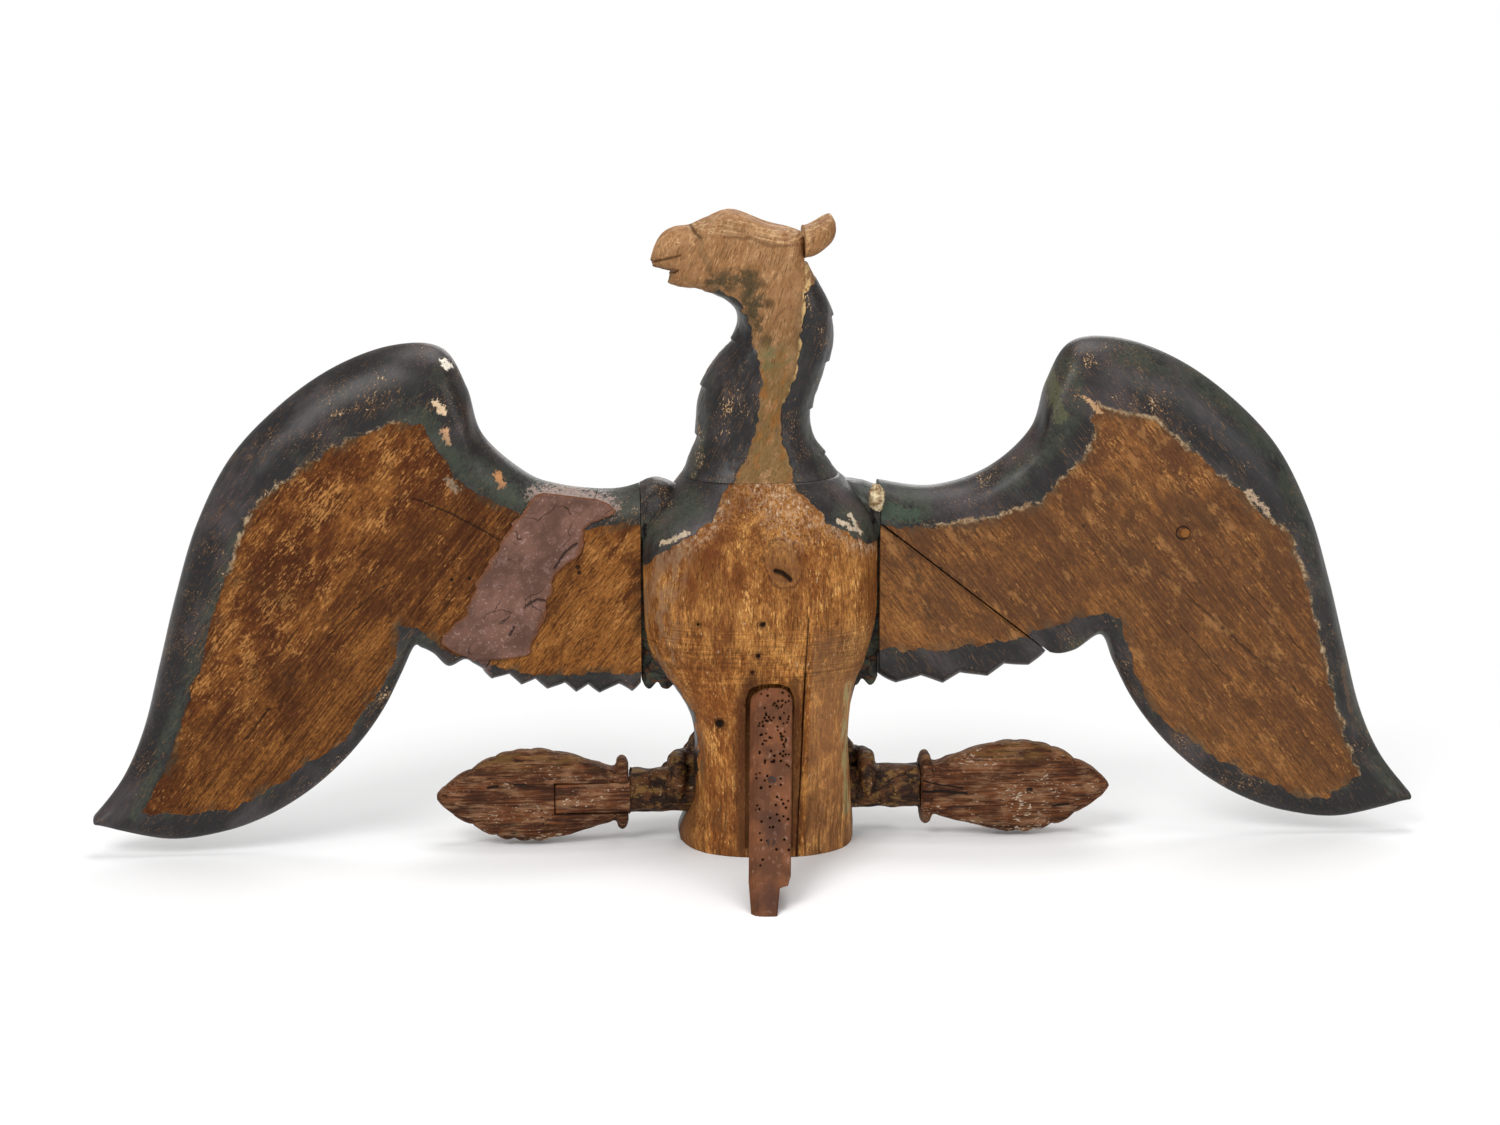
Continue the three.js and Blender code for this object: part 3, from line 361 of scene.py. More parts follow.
def make_mesh(name, points, face_groups, values=None):
    """Mesh from points in millimetres and groups of faces of one size each, wound so that the volume
    is positive. values maps an attribute's name to one number a point."""
    points = np.asarray(points, float)
    volume = 0.0
    for faces in face_groups:
        for k in range(1, faces.shape[1] - 1):
            a, b, c = points[faces[:, 0]], points[faces[:, k]], points[faces[:, k + 1]]
            volume += np.einsum("ij,ij->", a, np.cross(b, c))
    if volume < 0:
        face_groups = [faces[:, ::-1] for faces in face_groups]
    mesh = bpy.data.meshes.new(name)
    totals = np.concatenate([np.full(len(faces), faces.shape[1]) for faces in face_groups])
    corners = np.concatenate([faces.ravel() for faces in face_groups])
    mesh.vertices.add(len(points))
    mesh.vertices.foreach_set("co", (points * MM).astype(np.float32).ravel())
    mesh.loops.add(len(corners))
    mesh.loops.foreach_set("vertex_index", corners.astype(np.int32))
    mesh.polygons.add(len(totals))
    mesh.polygons.foreach_set("loop_start", np.concatenate([[0], np.cumsum(totals)[:-1]]).astype(np.int32))
    mesh.polygons.foreach_set("use_smooth", np.ones(len(totals), bool))
    mesh.update(calc_edges=True)
    for key, numbers in (values or {}).items():
        layer = mesh.attributes.new(key, "FLOAT", "POINT")
        layer.data.foreach_set("value", np.asarray(numbers, np.float32).ravel())
    mesh.validate()
    piece = bpy.data.objects.new(name, mesh)
    bpy.context.scene.collection.objects.link(piece)
    return piece


def skin_piece(name, rings, values=None):
    """A closed piece through rings, with attribute values given on the rings' grid."""
    points, faces = closed_skin(rings)
    full = {}
    for key, grid in (values or {}).items():
        full[key] = np.concatenate([grid.ravel(), [grid[0].mean(), grid[-1].mean()]])
    return make_mesh(name, points, faces, full)


def prism(name, outline, y0, y1):
    """Closed prism over an outline of x, z points, from y0 to y1."""
    outline = np.asarray(outline, float)
    size = len(outline)
    near = np.column_stack([outline[:, 0], np.full(size, y0), outline[:, 1]])
    far = near + (0, y1 - y0, 0)
    k = np.arange(size)
    following = (k + 1) % size
    walls = np.stack([k, following, following + size, k + size], axis=1)
    caps = np.stack([k[::-1], k + size])
    return make_mesh(name, np.concatenate([near, far]), [walls, caps])


def cut(piece, cutter, operation="DIFFERENCE"):
    """Joins or cuts piece with cutter, applies the result and removes the cutter."""
    change = piece.modifiers.new("cut", "BOOLEAN")
    change.operation = operation
    change.object = cutter
    change.solver = "EXACT"
    settle(piece)
    bpy.data.objects.remove(cutter)


def settle(piece):
    """Applies a piece's modifiers to its mesh."""
    bpy.context.view_layer.update()
    evaluated = piece.evaluated_get(bpy.context.evaluated_depsgraph_get())
    mesh = bpy.data.meshes.new_from_object(evaluated)
    piece.modifiers.clear()
    old = piece.data
    piece.data = mesh
    bpy.data.meshes.remove(old)


def finish_piece(piece, material, slot, *nodes):
    """Gives a piece its name, its material, its body and the nodes that it stands for. slot is not used."""
    piece.name = f"{nodes[0]}_carved"
    piece.data.materials.clear()
    piece.data.materials.append(material)
    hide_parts(*nodes)
    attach(piece, BODY)
    return piece


# Carved relief


def scales(along, across, relief, last=1e9):
    """Overlapping feathers: along counts rows from the root, across counts feathers. Each is a ramp that
    rises to a rounded tip over the row below; odd rows shift by half. The uppermost feather over a
    point gives its height, with a shaft and slanting barbs. Rows past last are left out. Returns the
    heights and where a feather covers."""
    height = np.zeros(along.shape)
    covered = np.zeros(along.shape, bool)
    row = np.floor(along)
    for back in (1, 0):
        k = row - back
        cell = np.mod(across + np.mod(k, 2) * 0.5, 1) - 0.5
        reach = 1 + 0.55 * np.sqrt(np.clip(1 - (2 * cell) ** 2, 0, 1))
        local = along - k
        here = (local < reach) & ~covered & (k <= last) & (k >= 0)
        lift = relief * (0.35 + 0.65 * local / reach)
        rim = 0.55 + 0.45 * ease(0, 0.22, reach - local)
        edge = 0.7 + 0.3 * ease(0, 0.12, 0.5 - np.abs(cell))
        shaft = 0.16 * relief * np.exp(-(cell / 0.045) ** 2)
        barbs = 0.10 * relief * np.cos(2 * math.pi * (local * 5 + np.abs(cell) * 6))
        height = np.where(here, lift * rim * edge + shaft + barbs * rim, height)
        covered |= here
    return height, covered


def quills(along, across, relief):
    """Long feathers side by side: across counts them, along is in barbs' spacings. Each is a ramp over
    the next with a rounded edge, a raised shaft and slanting barbs."""
    cell = np.mod(across, 1)
    ramp = relief * (0.25 + 0.75 * cell) * ease(0, 0.06, 1 - cell)
    shaft = 0.22 * relief * np.exp(-((cell - 0.55) / 0.05) ** 2)
    barbs = 0.09 * relief * np.cos(2 * math.pi * (along + 2.2 * np.abs(cell - 0.55)))
    return ramp + shaft + barbs


def groove(x, z, line, width, depth):
    """A V-shaped groove along a line of x, z points, as a negative height."""
    return -depth * np.exp(-((segment_distance(x, z, line) / width) ** 2))


# Wings


ROLL_STEPS, BACK_STEPS, FRONT_STEPS = 22, 74, 118
BLADE_RIBS, ROOT_RIBS = 300, 220
PAINT_FILM, JOINT_SLACK = 0.8, 0.9


def edge_round(distance, radius):
    """How far a quarter-round edge falls away at a distance from the edge."""
    inner = np.clip(1 - distance / radius, 0, 1)
    return radius * (1 - np.sqrt(1 - inner ** 2))


def wing_rings(side, upper, lower, shapes, ribs, teeth=0):
    """Ribs of a wing board. Across each rib lie a quarter-ellipse roll at the leading edge, the flat
    back, a roll at the trailing edge, and the front: a line between the two depths, swollen by
    crown sin(pi f^0.6) and rounded at both edges. Returns the rings, the place f across the chord,
    the chord, and the distance along the span."""
    place = np.linspace(0, 1, ribs)
    top, bottom, shape = spread(upper, ribs), spread(lower, ribs), spread(shapes, ribs)
    saw = np.mod(teeth * (place + 0.012 * np.sin(17 * place)), 1)
    bottom[:, 1] -= TOOTH_DEPTH * np.minimum(saw / 0.56, (1 - saw) / 0.44) * (teeth > 0)
    chord = np.hypot(*(bottom - top).T)[:, None]
    lead_roll, lead_depth, trail_roll, trail_depth, crown = (shape.T)[:, :, None]
    fit = np.minimum(1, chord * 0.9 / (lead_roll + trail_roll))
    lead_roll, trail_roll = lead_roll * fit, trail_roll * fit
    lead_edge = np.clip(0.5 * lead_roll + 1, 0, 7)
    trail_edge = np.clip(0.5 * trail_roll + 1, 0, 6)
    turn = np.linspace(0, math.pi / 2, ROLL_STEPS)
    across = np.linspace(0, 1, BACK_STEPS + 2)[1:-1]
    even = np.linspace(1, 0, FRONT_STEPS + 2)[1:-1]
    f = 0.75 * even + 0.25 * (0.5 - 0.5 * np.cos(math.pi * even))
    t_front = chord * f
    t = np.concatenate([
        lead_roll * (1 - np.cos(turn)),
        lead_roll + (chord - trail_roll - lead_roll) * across,
        (chord - trail_roll * (1 - np.cos(turn)))[:, ::-1],
        t_front,
    ], axis=1)
    swell = crown * np.sin(math.pi * f ** 0.6)
    y = np.concatenate([
        (lead_depth - lead_edge) * (1 - np.sin(turn)),
        np.zeros((ribs, BACK_STEPS)),
        ((trail_depth - trail_edge) * (1 - np.sin(turn)))[:, ::-1],
        lead_depth + (trail_depth - lead_depth) * f + swell
        - edge_round(t_front, lead_edge) - edge_round(chord - t_front, trail_edge),
    ], axis=1)
    f = t / chord
    x = top[:, :1] + (bottom[:, :1] - top[:, :1]) * f
    z = top[:, 1:] + (bottom[:, 1:] - top[:, 1:]) * f
    middle = (top + bottom) / 2
    steps = np.hypot(*np.diff(middle, axis=0).T)
    span = np.concatenate([[0], np.cumsum(steps)])[:, None] + 0 * f
    return np.stack([WING_CENTRE + side * x, y, z], axis=2), f, chord + 0 * f, span


def wander(rings):
    """How far the border between wood and paint strays to either side, in millimetres."""
    return 2.4 * ripple(rings, 16, 21) + 1.4 * ripple(rings, 7, 22)


def along_lines(lines, x, z):
    """1 along lines of x, z points, each falling to 0 over its own width."""
    return np.max([ease(width, 0.3 * width, segment_distance(x, z, line)) for line, width in lines], axis=0)


def place_values(part, points, field):
    """Attributes that follow from a point's place: the distance into the bare wood, and the shares of
    green and of worn paint from the part's tables."""
    x, z = points[..., 0], points[..., 2]
    return {
        "field": field,
        "green": along_lines(GREEN_PAINT[part], x, z),
        "worn": along_lines(WORN_PAINT[part], x, z),
    }


def surface_values(part, rings, field, front, ridge, glow=0.0, rim=0.0, grained=0.4):
    """Attributes that the carving's materials read: those of the place, 1 on the carved front, the
    height of the carving, the rubbed ochre band, the share of cream left at the border and the share
    of open grain."""
    grids = {"front": front, "ridge": ridge, "glow": glow, "rim": rim, "grained": grained}
    grids.update(place_values(part, rings, field))
    return {key: grid + 0.0 * field for key, grid in grids.items()}


def refresh_values(piece, part, field_at, front_depth=None):
    """Gives a piece's points, also those that a cut made, the attributes of their places. Points
    deeper than front_depth, where it is given, belong to the carved front and the others to the back."""
    points = np.empty(3 * len(piece.data.vertices), np.float32)
    piece.data.vertices.foreach_get("co", points)
    points = points.reshape(-1, 3).astype(float) / MM
    values = place_values(part, points, field_at(points))
    if front_depth is not None:
        values["front"] = points[:, 1] > front_depth
    for key, numbers in values.items():
        piece.data.attributes[key].data.foreach_set("value", numbers.astype(np.float32))


def under_joint(rings, sign):
    """Holds a board above (sign 1) or below (-1) the right wing's joint line."""
    (x0, z0), (x1, z1) = RIGHT_JOINT
    x = rings[..., 0] - WING_CENTRE
    line = z0 + (x - x0) * (z1 - z0) / (x1 - x0) + sign * JOINT_SLACK
    near = (x > x0 - 20) & (x < x1 + 14)
    z = rings[..., 2]
    rings[..., 2] = np.where(near, np.maximum(z, line) if sign > 0 else np.minimum(z, line), z)
    return rings


def board_piece(name, parts, feathers, relief, fade, rubbed_all=0.0):
    """A wing board from what wing_rings gives. Its feathers are cut in the front and fade out at the
    edges; on the back the wood lies a paint film lower than the painted border, with faint tool marks
    that fade takes away. rubbed_all is the least share of rubbed ochre on the wood."""
    rings, f, chord, _ = parts
    wing = name.split("_")[0]
    front = np.arange(rings.shape[1]) >= 2 * ROLL_STEPS + BACK_STEPS
    lowered = ease(0, 12, f * chord) * ease(0, 7, (1 - f) * chord) * (feathers - relief)
    outline = WOOD_ON_WING[wing]
    field = np.where(front, -40, inside_distance(rings[..., 0], rings[..., 2], outline) + wander(rings))
    height = -PAINT_FILM * ease(-1.0, 1.4, field)
    height += 0.45 * ripple(rings, 75, 5) + 0.16 * ripple(rings, 21, 6) - 0.5
    if wing == "right":
        rings = under_joint(rings, 1 if name.endswith("blade") else -1)
    x, z = rings[..., 0], rings[..., 2]
    rubbed, flaked = outline[slice(*RUBBED_BORDER[wing])], outline[slice(*FLAKED_BORDER[wing])]
    glow = np.maximum(ease(44, 4, segment_distance(x, z, rubbed)), rubbed_all)
    rim = ease(24, 8, segment_distance(x, z, flaked))
    grained = ease(120, 30, segment_distance(x, z, OPEN_GRAIN[wing]))
    ridge = np.where(front, np.clip(feathers / relief, 0, 1), 0.5)
    values = surface_values(wing, rings, field, front, ridge, glow, rim, grained)
    return skin_piece(name, raised(rings, np.where(front, lowered, height * fade)), values)


def make_blade(name, relief):
    """Outer board of a wing: long quills towards the tip under rows of small feathers at the shoulder."""
    side, rows = (-1, 6) if name == "left" else (1, 7)
    upper, lower = (LEFT_LEADING, LEFT_TRAILING) if side < 0 else (RIGHT_LEADING, RIGHT_TRAILING)
    parts = wing_rings(side, upper, lower, BLADE_SHAPES[name], BLADE_RIBS)
    _, f, chord, span = parts
    small, covered = scales((span + 90 * f) / 34, f * 8, relief, last=rows)
    long = quills(span / 6, f * 7 + 0.35 * np.sin(span / 160), relief) * 0.85
    fade = ease(0, 5, f * chord) * ease(0, 4, (1 - f) * chord)
    return board_piece(f"{name}_wing_blade", parts, np.where(covered, small, long), relief, fade)


def make_root(name, relief):
    """Root board of a wing: small feathers above a row of quills that end in the toothed edge."""
    side = -1 if name == "left" else 1
    upper, lower = ROOT_EDGES[name]
    parts = wing_rings(side, upper, lower, ROOT_SHAPES[name], ROOT_RIBS, TEETH[name])
    _, f, chord, _ = parts
    place = np.linspace(0, 1, ROOT_RIBS)[:, None] + 0 * f
    small, covered = scales(f * chord / 30, place * TEETH[name] * 1.5, relief, last=2)
    long = quills(f * chord / 6, place * TEETH[name], relief) * 0.85
    feathers = np.where(covered, small, long)
    return board_piece(f"{name}_wing_root", parts, feathers, relief, ease(0, 5, (1 - f) * chord), 0.3)


def make_putty():
    """Filler draped over the left joint: a lens-shaped section between two rails, lumpy on top."""
    ribs, wide = 150, 90
    left_x, left_z, right_x, right_z = (spread(PUTTY_STATIONS, ribs).T)[:, :, None]
    f = np.concatenate([np.linspace(0, 1, wide), np.linspace(1, 0, 12)[1:-1]])
    place = np.linspace(0, 1, ribs)[:, None]
    x = left_x + (right_x - left_x) * f
    z = left_z + (right_z - left_z) * f
    flat = np.stack([x, 0 * x, z], axis=2)
    ragged = 3.2 * ripple(flat, 19, 11) + 1.5 * ripple(flat, 8, 12)
    middle = (flat[:, :1] + flat[:, wide - 1:wide]) / 2
    away = flat - middle
    reach = np.linalg.norm(away, axis=2, keepdims=True) + 1e-9
    flat += away / reach * (ragged * np.abs(2 * f - 1) ** 6)[..., None]
    dome = (1 - np.abs(2 * f - 1) ** 7) * ease(0, 0.05, place) * ease(0, 0.05, 1 - place)
    lumps = 0.75 * ripple(flat, 34, 13) + 0.35 * ripple(flat, 9, 14)
    top = np.arange(len(f)) < wide
    flat[..., 1] = np.where(top, 0.3 - dome * (1.5 + lumps), 0.5)
    across = np.linalg.norm(flat[:, :1] - flat[:, wide - 1:wide], axis=2) * (0.5 - np.abs(f - 0.5))
    return skin_piece("left_wing_putty", flat, {"inner": np.minimum(across, place * 150)})


def make_lump(name, centre, size, seed):
    """A broken lump: a ball of radii size pushed in and out by smooth noise and flattened facets."""
    u = np.linspace(0.04, math.pi - 0.04, 40)[:, None]
    v = np.linspace(0, 2 * math.pi, 48, endpoint=False)
    ball = np.stack([np.sin(u) * np.cos(v), np.sin(u) * np.sin(v), np.cos(u) + 0 * v], axis=2)
    swell = 0.88 + 0.10 * ripple(ball * 10, 9, seed) + 0.05 * np.sign(ripple(ball * 10, 6, seed + 1))
    return skin_piece(name, ball * swell[..., None] * np.array(size) / 2 + np.array(centre))


# Tongue as shares of its width, from the body outwards, and of its height
TONGUE_OUTLINE = [
    (0, 1), (0.55, 1), (1, 0.83), (1, 0.24), (0.51, 0.24), (0.51, 0.07), (0.47, 0.02), (0.41, 0),
    (0.36, 0.03), (0.31, 0.06), (0.26, 0.01), (0.18, 0), (0.1, 0.04), (0, 0.12),
]


def make_tongue(name):
    """Loose tongue of a wing: a board with two rounded teeth below, its arrises broken."""
    low, high = (np.array(corner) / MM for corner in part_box(f"{name}_wing_tongue"))
    inner, outer = (high[0], low[0]) if name == "left" else (low[0], high[0])
    outline = [(inner + (outer - inner) * x, low[2] + (high[2] - low[2]) * z) for x, z in TONGUE_OUTLINE]
    piece = prism(f"{name}_wing_tongue", outline, low[1], high[1])
    bevel = piece.modifiers.new("broken arrises", "BEVEL")
    bevel.width, bevel.segments = 3 * MM, 4
    settle(piece)
    return piece


# Body, head and crest

BODY_CORNERS, BOARD_RINGS, NECK_RINGS = 320, 100, 98

# Holes in the body's back: x, z, radius of the pit and radius of the black in it
BODY_HOLES = [
    (0.6, 223, 3.2, 2.4), (-4, 193, 3.6, 2.4), (-9, 178, 2.6, 1.6), (-58, 222, 3.4, 1.4), (-38, 127, 5, 4),
]
BREAST_Y, HEAD_TOP_Z = 136.8, 589.3
KNOT_X, KNOT_Z, KNOT_RADIUS = 17.7, 278, 19

# Grooves in the backs of body and head, and in the face: a line, its width and its depth
BODY_GROOVES = [
    ([(13, 272), (18, 270), (24, 265)], 2.2, 4.5),
    ([(42, 227), (39.5, 200), (39, 176)], 1.2, 1.4),
    ([(33, -3), (39.2, SIDE_BOARD_TOP)], 1.1, 1.0),
]
MOUTH_LINE = [(-97, 543), (-86, 546), (-76, 549), (-70, 551)]
HEAD_GROOVES = [
    (MOUTH_LINE, 1.5, 1.8),
    ([(-60, 580), (-59, 575), (-56, 570), (-52, 567)], 1.8, 1.6),
    ([(9, 505), (24, 470), (33, 440)], 3, 0.6),
]
FACE_GROOVES = [
    ([(-97, 543), (-82, 546), (-60, 541), (-46, 534)], 2, 3),
    ([(-60, 582), (-57, 560), (-54, 540)], 2.2, 2),
    ([(-75, 566), (-70, 569)], 2, 2.4),
]
BROW = [(-56, 566), (-40, 571), (-22, 566)]


def field_on_body(points):
    """Signed distance into the bare wood on the body."""
    x, y, z = points[..., 0], points[..., 1], points[..., 2]
    return np.minimum(inside_distance(x, z, WOOD_ON_BODY), 24 - y) + wander(points)


def body_block(relief):
    """Body block before it is parted: its rings, with the double ring where the side board stops."""
    tall = spread(BODY_STATIONS, 2000)[:, 0]
    low = np.linspace(0, SIDE_BOARD_TOP, BOARD_RINGS)
    levels = np.concatenate([low, np.linspace(SIDE_BOARD_TOP, NECK_JOINT_Z - GAP, NECK_RINGS)])
    rows = spline(BODY_STATIONS, np.interp(levels, tall, np.linspace(0, len(BODY_STATIONS) - 1, 2000)))
    _, left, right, back, side, front, square = rows.T
    rows = np.stack([left, levels, right, levels, back, side, front, square], axis=1)
    rings, angle = carved_rings(rows, BODY_CORNERS)
    x, z = rings[..., 0], rings[..., 2]
    is_front = angle > math.pi
    field = field_on_body(rings)
    drawn_out = rings * (1, 1, 0.09)
    furrows = 0.6 * ripple(drawn_out, 5, 24) + 0.4 * ripple(drawn_out, 11, 25)
    weathered = 0.8 * ripple(rings, 60, 23) + 0.3 * furrows
    back_height = -PAINT_FILM * ease(-1, 1.4, field) + ease(0, 16, NECK_JOINT_Z - z) * weathered
    back_height += 0.35 * ripple(rings * (0.35, 1, 1), 9, 26) * ease(150, 175, z) * ease(232, 205, z)
    away = np.hypot(x - KNOT_X, z - KNOT_Z)
    back_height += 0.9 * np.exp(-((away - KNOT_RADIUS) / 4) ** 2) - 0.7 * np.exp(-((away / 11) ** 2))
    for line, width, depth in BODY_GROOVES:
        back_height += groove(x, z, line, width, depth)
    for hole_x, hole_z, radius, _ in BODY_HOLES:
        back_height -= 4 * np.exp(-((np.hypot(x - hole_x, z - hole_z) / radius) ** 4))
    turn = angle / math.pi - 1 + 0 * z
    small, covered = scales((338 - z) / 27, turn * 8, relief, last=7)
    long = quills(z / 6, turn * 9, relief)
    feathers = np.where(covered & (z > 112), small, long)
    share = np.where(is_front, np.clip(feathers / relief, 0, 1), 0.5)
    thighs = sum(13 * np.exp(-((x - at) / 27) ** 2 - ((z - 176) / 36) ** 2) for at in (-38, 66))
    front_height = (feathers - relief) * ease(0, 0.12, turn) * ease(1, 0.88, turn) + thighs
    rings = raised(rings, np.where(is_front, front_height, back_height))
    rings[..., 1] = np.minimum(rings[..., 1], BREAST_Y)
    rings[..., 2] = np.clip(levels[:, None], 0, NECK_JOINT_Z - GAP)
    return rings, surface_values("body", rings, field, is_front, share)


def make_shoulder(rows):
    """Painted shoulder between the neck and a wing, to be joined to the body."""
    x, top, bottom, back, side, front, square = spread(rows, 60).T
    rings, angle = carved_rings(np.stack([x, top, x, bottom, back, side, front, square], axis=1), 140)
    values = surface_values("body", rings, field_on_body(rings), angle > math.pi, 0.5)
    rings = raised(rings, 0.6 * ripple(rings, 22, 27) + 0.25 * ripple(rings, 8, 28) - 0.5)
    rings[..., 0] = np.clip(rings[..., 0], x.min(), x.max())
    return skin_piece("shoulder", rings, values)


def make_body(relief):
    """Body block with the strut's slot, and the board on its right below the waist."""
    rings, values = body_block(relief)
    joint = SIDE_BOARD_FOOT_X + SIDE_BOARD_LEAN * rings[..., 2]
    core = rings.copy()
    core[:BOARD_RINGS, :, 0] = np.minimum(rings[:BOARD_RINGS, :, 0], joint[:BOARD_RINGS] - GAP / 2)
    body = skin_piece("body_core", core, values)
    for rows in SHOULDERS:
        cut(body, make_shoulder(rows), "UNION")
    left, right, foot, top = (SLOT[key] for key in ("left", "right", "foot", "top"))
    outline = [
        (left, foot), (right, foot), (right, top - 14), (right - 4, top - 4), (right - 14, top),
        (left + 14, top), (left + 4, top - 4), (left, top - 14),
    ]
    cut(body, prism("slot", outline, -100, SLOT["floor"]))
    refresh_values(body, "body", field_on_body, 41)
    board = rings[:BOARD_RINGS].copy()
    board[..., 0] = np.maximum(board[..., 0], joint[:BOARD_RINGS] + GAP / 2)
    board[..., 2] = np.minimum(board[..., 2], SIDE_BOARD_TOP - GAP / 2)
    board_values = {key: grid[:BOARD_RINGS] for key, grid in values.items()}
    return body, skin_piece("body_side_board", board, board_values)


# Eye, notch of the open beak and upper edge of the head, as x and z
EYE = (-37, 556)
MOUTH_NOTCH = [
    (-140, 548), (-92, 536.5), (-86.6, 536.7), (-77.5, 536.1), (-70.4, 537.7), (-74.6, 534.1),
    (-79.2, 531.1), (-81.9, 524), (-83, 519), (-140, 500),
]
HEAD_EDGE = [
    (-59, 581), (-49, 578), (-39, 579), (-26, 577), (-13, 575), (-1, 571), (12.5, 568), (22.5, 566),
    (34, 569), (46, 572), (57.5, 579), (64, 586),
]


def field_on_head(points):
    """Signed distance into the bare wood on the head and neck."""
    x, y, z = points[..., 0], points[..., 1], points[..., 2]
    return np.minimum(inside_distance(x, z, WOOD_ON_HEAD), 30 - y + 30 * ease(500, 520, z)) + wander(points)


def make_head(relief):
    """Head and neck: flat and bare at the back, with a feathered neck and a plain face in front."""
    rings, angle = carved_rings(spread(HEAD_STATIONS, 330), 230)
    x, y, z = rings[..., 0], rings[..., 1], rings[..., 2]
    is_front = angle > math.pi
    field = field_on_head(rings)
    joint = ease(0, 16, z - NECK_JOINT_Z)
    weathered = 0.7 * ripple(rings, 42, 33) + 0.22 * ripple(rings, 9, 34)
    back_height = -PAINT_FILM * ease(-1, 1.4, field) + joint * weathered
    for line, width, depth in HEAD_GROOVES:
        back_height += groove(x, z, line, width, depth)
    from_edge = segment_distance(x, z, HEAD_EDGE)
    strands = ease(2, -2, from_edge - 7) * ease(500, 560, z)
    back_height += 0.5 * strands * np.cos(from_edge * 2 * math.pi / 4.5)
    turn = angle / math.pi - 1 + 0 * z
    along = (np.linspace(0, 1, len(rings)) * 11)[:, None] + 0 * z
    small, _ = scales(8.5 - along, turn * 6, relief)
    neck = ease(520, 485, z)
    away = np.hypot(x - EYE[0], z - EYE[1])
    face = -2.2 * np.exp(-((away - 9) / 2.2) ** 2) + 2.4 * np.sqrt(np.clip(1 - (away / 6.5) ** 2, 0, 1)) - 1
    face += 2.2 * np.exp(-(segment_distance(x, z, BROW) / 4) ** 2)
    for line, width, depth in FACE_GROOVES:
        face += groove(x, z, line, width, depth)
    face = np.minimum(face, 1)
    front_height = np.where(neck > 0, neck * (small - relief), 0) + (1 - neck) * face
    front_height *= ease(0, 0.1, turn) * ease(1, 0.9, turn)
    share = np.where(is_front, np.where(neck > 0.5, np.clip(small / relief, 0, 1), 0.6), 0.5)
    tips = 1 - np.mod(z / 43 + np.where(x > 0, 0.55, 0.1), 1)
    tips = 2.4 * tips * ease(22, 40, y) * ease(95, 60, y) * neck * joint
    rings = raised(rings, np.where(is_front, front_height, back_height) + tips)
    seat = rings[..., 2] > 541
    rings[..., 0] = np.where(seat, np.minimum(rings[..., 0], CREST_JOINT_X - 0.1), rings[..., 0])
    rings[..., 2] = np.clip(rings[..., 2], NECK_JOINT_Z, HEAD_TOP_Z)
    rings[0, :, 2] = NECK_JOINT_Z
    head = skin_piece("head_and_neck", rings, surface_values("head", rings, field, is_front, share))
    cut(head, prism("mouth", MOUTH_NOTCH, -40, 140))
    refresh_values(head, "head", field_on_head)
    return head


def make_crest():
    """Crest: a tapering tongue with its upper back edge chamfered along a carved line."""
    rings, angle = carved_rings(spread(CREST_STATIONS, 90), 170)
    x, z = rings[..., 0], rings[..., 2]
    line = segment_distance(x, z, [(40, 571)] + HEAD_EDGE[-3:])
    height = -1.3 * np.exp(-((line / 1.5) ** 2)) + 0.4 * ripple(rings, 20, 41) - 0.3
    height = np.where(angle > math.pi, -1.1 + 0.7 * np.cos(z * 2 * math.pi / 6.5 - x * 0.35), height)
    rings = raised(rings, height * ease(0, 3, x - CREST_JOINT_X))
    rings[..., 0] = np.maximum(rings[..., 0], CREST_JOINT_X + GAP)
    return skin_piece("crest", rings, surface_values("head", rings, 9 + 0 * x, angle > math.pi, 0.5))


# Bar, leaf ends, feet and strut


def make_crossbar():
    """Bar through the block: a lumpy round with bark-like ridges, and a squared tenon at each end."""
    rows = []
    for shoulder, out, back in ((BAR_LEFT, -1, TENON_BACK_Y), (BAR_RIGHT, 1, BLIND_TENON_BACK_Y)):
        centre, half = (TENON_FRONT_Y + back) / 2, (TENON_FRONT_Y - back) / 2
        tenon = (centre, TENON_Z, half, TENON_HEIGHT / 2, 9.0)
        end = shoulder + out * TENON_LENGTH
        tip = (end, centre, TENON_Z, half - 1.2, 13.8, 7.0)
        rows.append([tip, (end - out * 1.4, *tenon), (shoulder + out * 0.3, *tenon)])
    round_bar = [(x, BAR_Y, BAR_Z, BAR_RADIUS, BAR_RADIUS, 2.0) for x in (BAR_LEFT + 0.31, BAR_RIGHT - 0.31)]
    table = np.array(rows[0] + round_bar + rows[1][::-1])
    xs = np.concatenate([
        np.linspace(table[k, 0], table[k + 1, 0], count, endpoint=k == 6)
        for k, count in zip(range(7), (3, 60, 2, 260, 2, 60, 4))
    ])
    y0, z0, half_y, half_z, square = (np.interp(xs, table[:, 0], table[:, c])[:, None] for c in range(1, 6))
    angle = np.linspace(0, 2 * math.pi, 110, endpoint=False)
    c, s = np.cos(angle), np.sin(angle)
    y = y0 + half_y * np.sign(c) * np.abs(c) ** (2 / square)
    z = z0 + half_z * np.sign(s) * np.abs(s) ** (2 / square)
    rings = np.stack([xs[:, None] + 0 * y, y, z], axis=2)
    lumps = 1.3 * ripple(rings, 30, 51) + 0.9 * ripple(rings * (0.45, 1, 1), 8, 52) - 1.7
    fine = 0.25 * ripple(rings * (0.2, 1, 1), 5, 53) - 0.3
    return skin_piece("crossbar", raised(rings, np.where(square < 3, lumps, fine)))


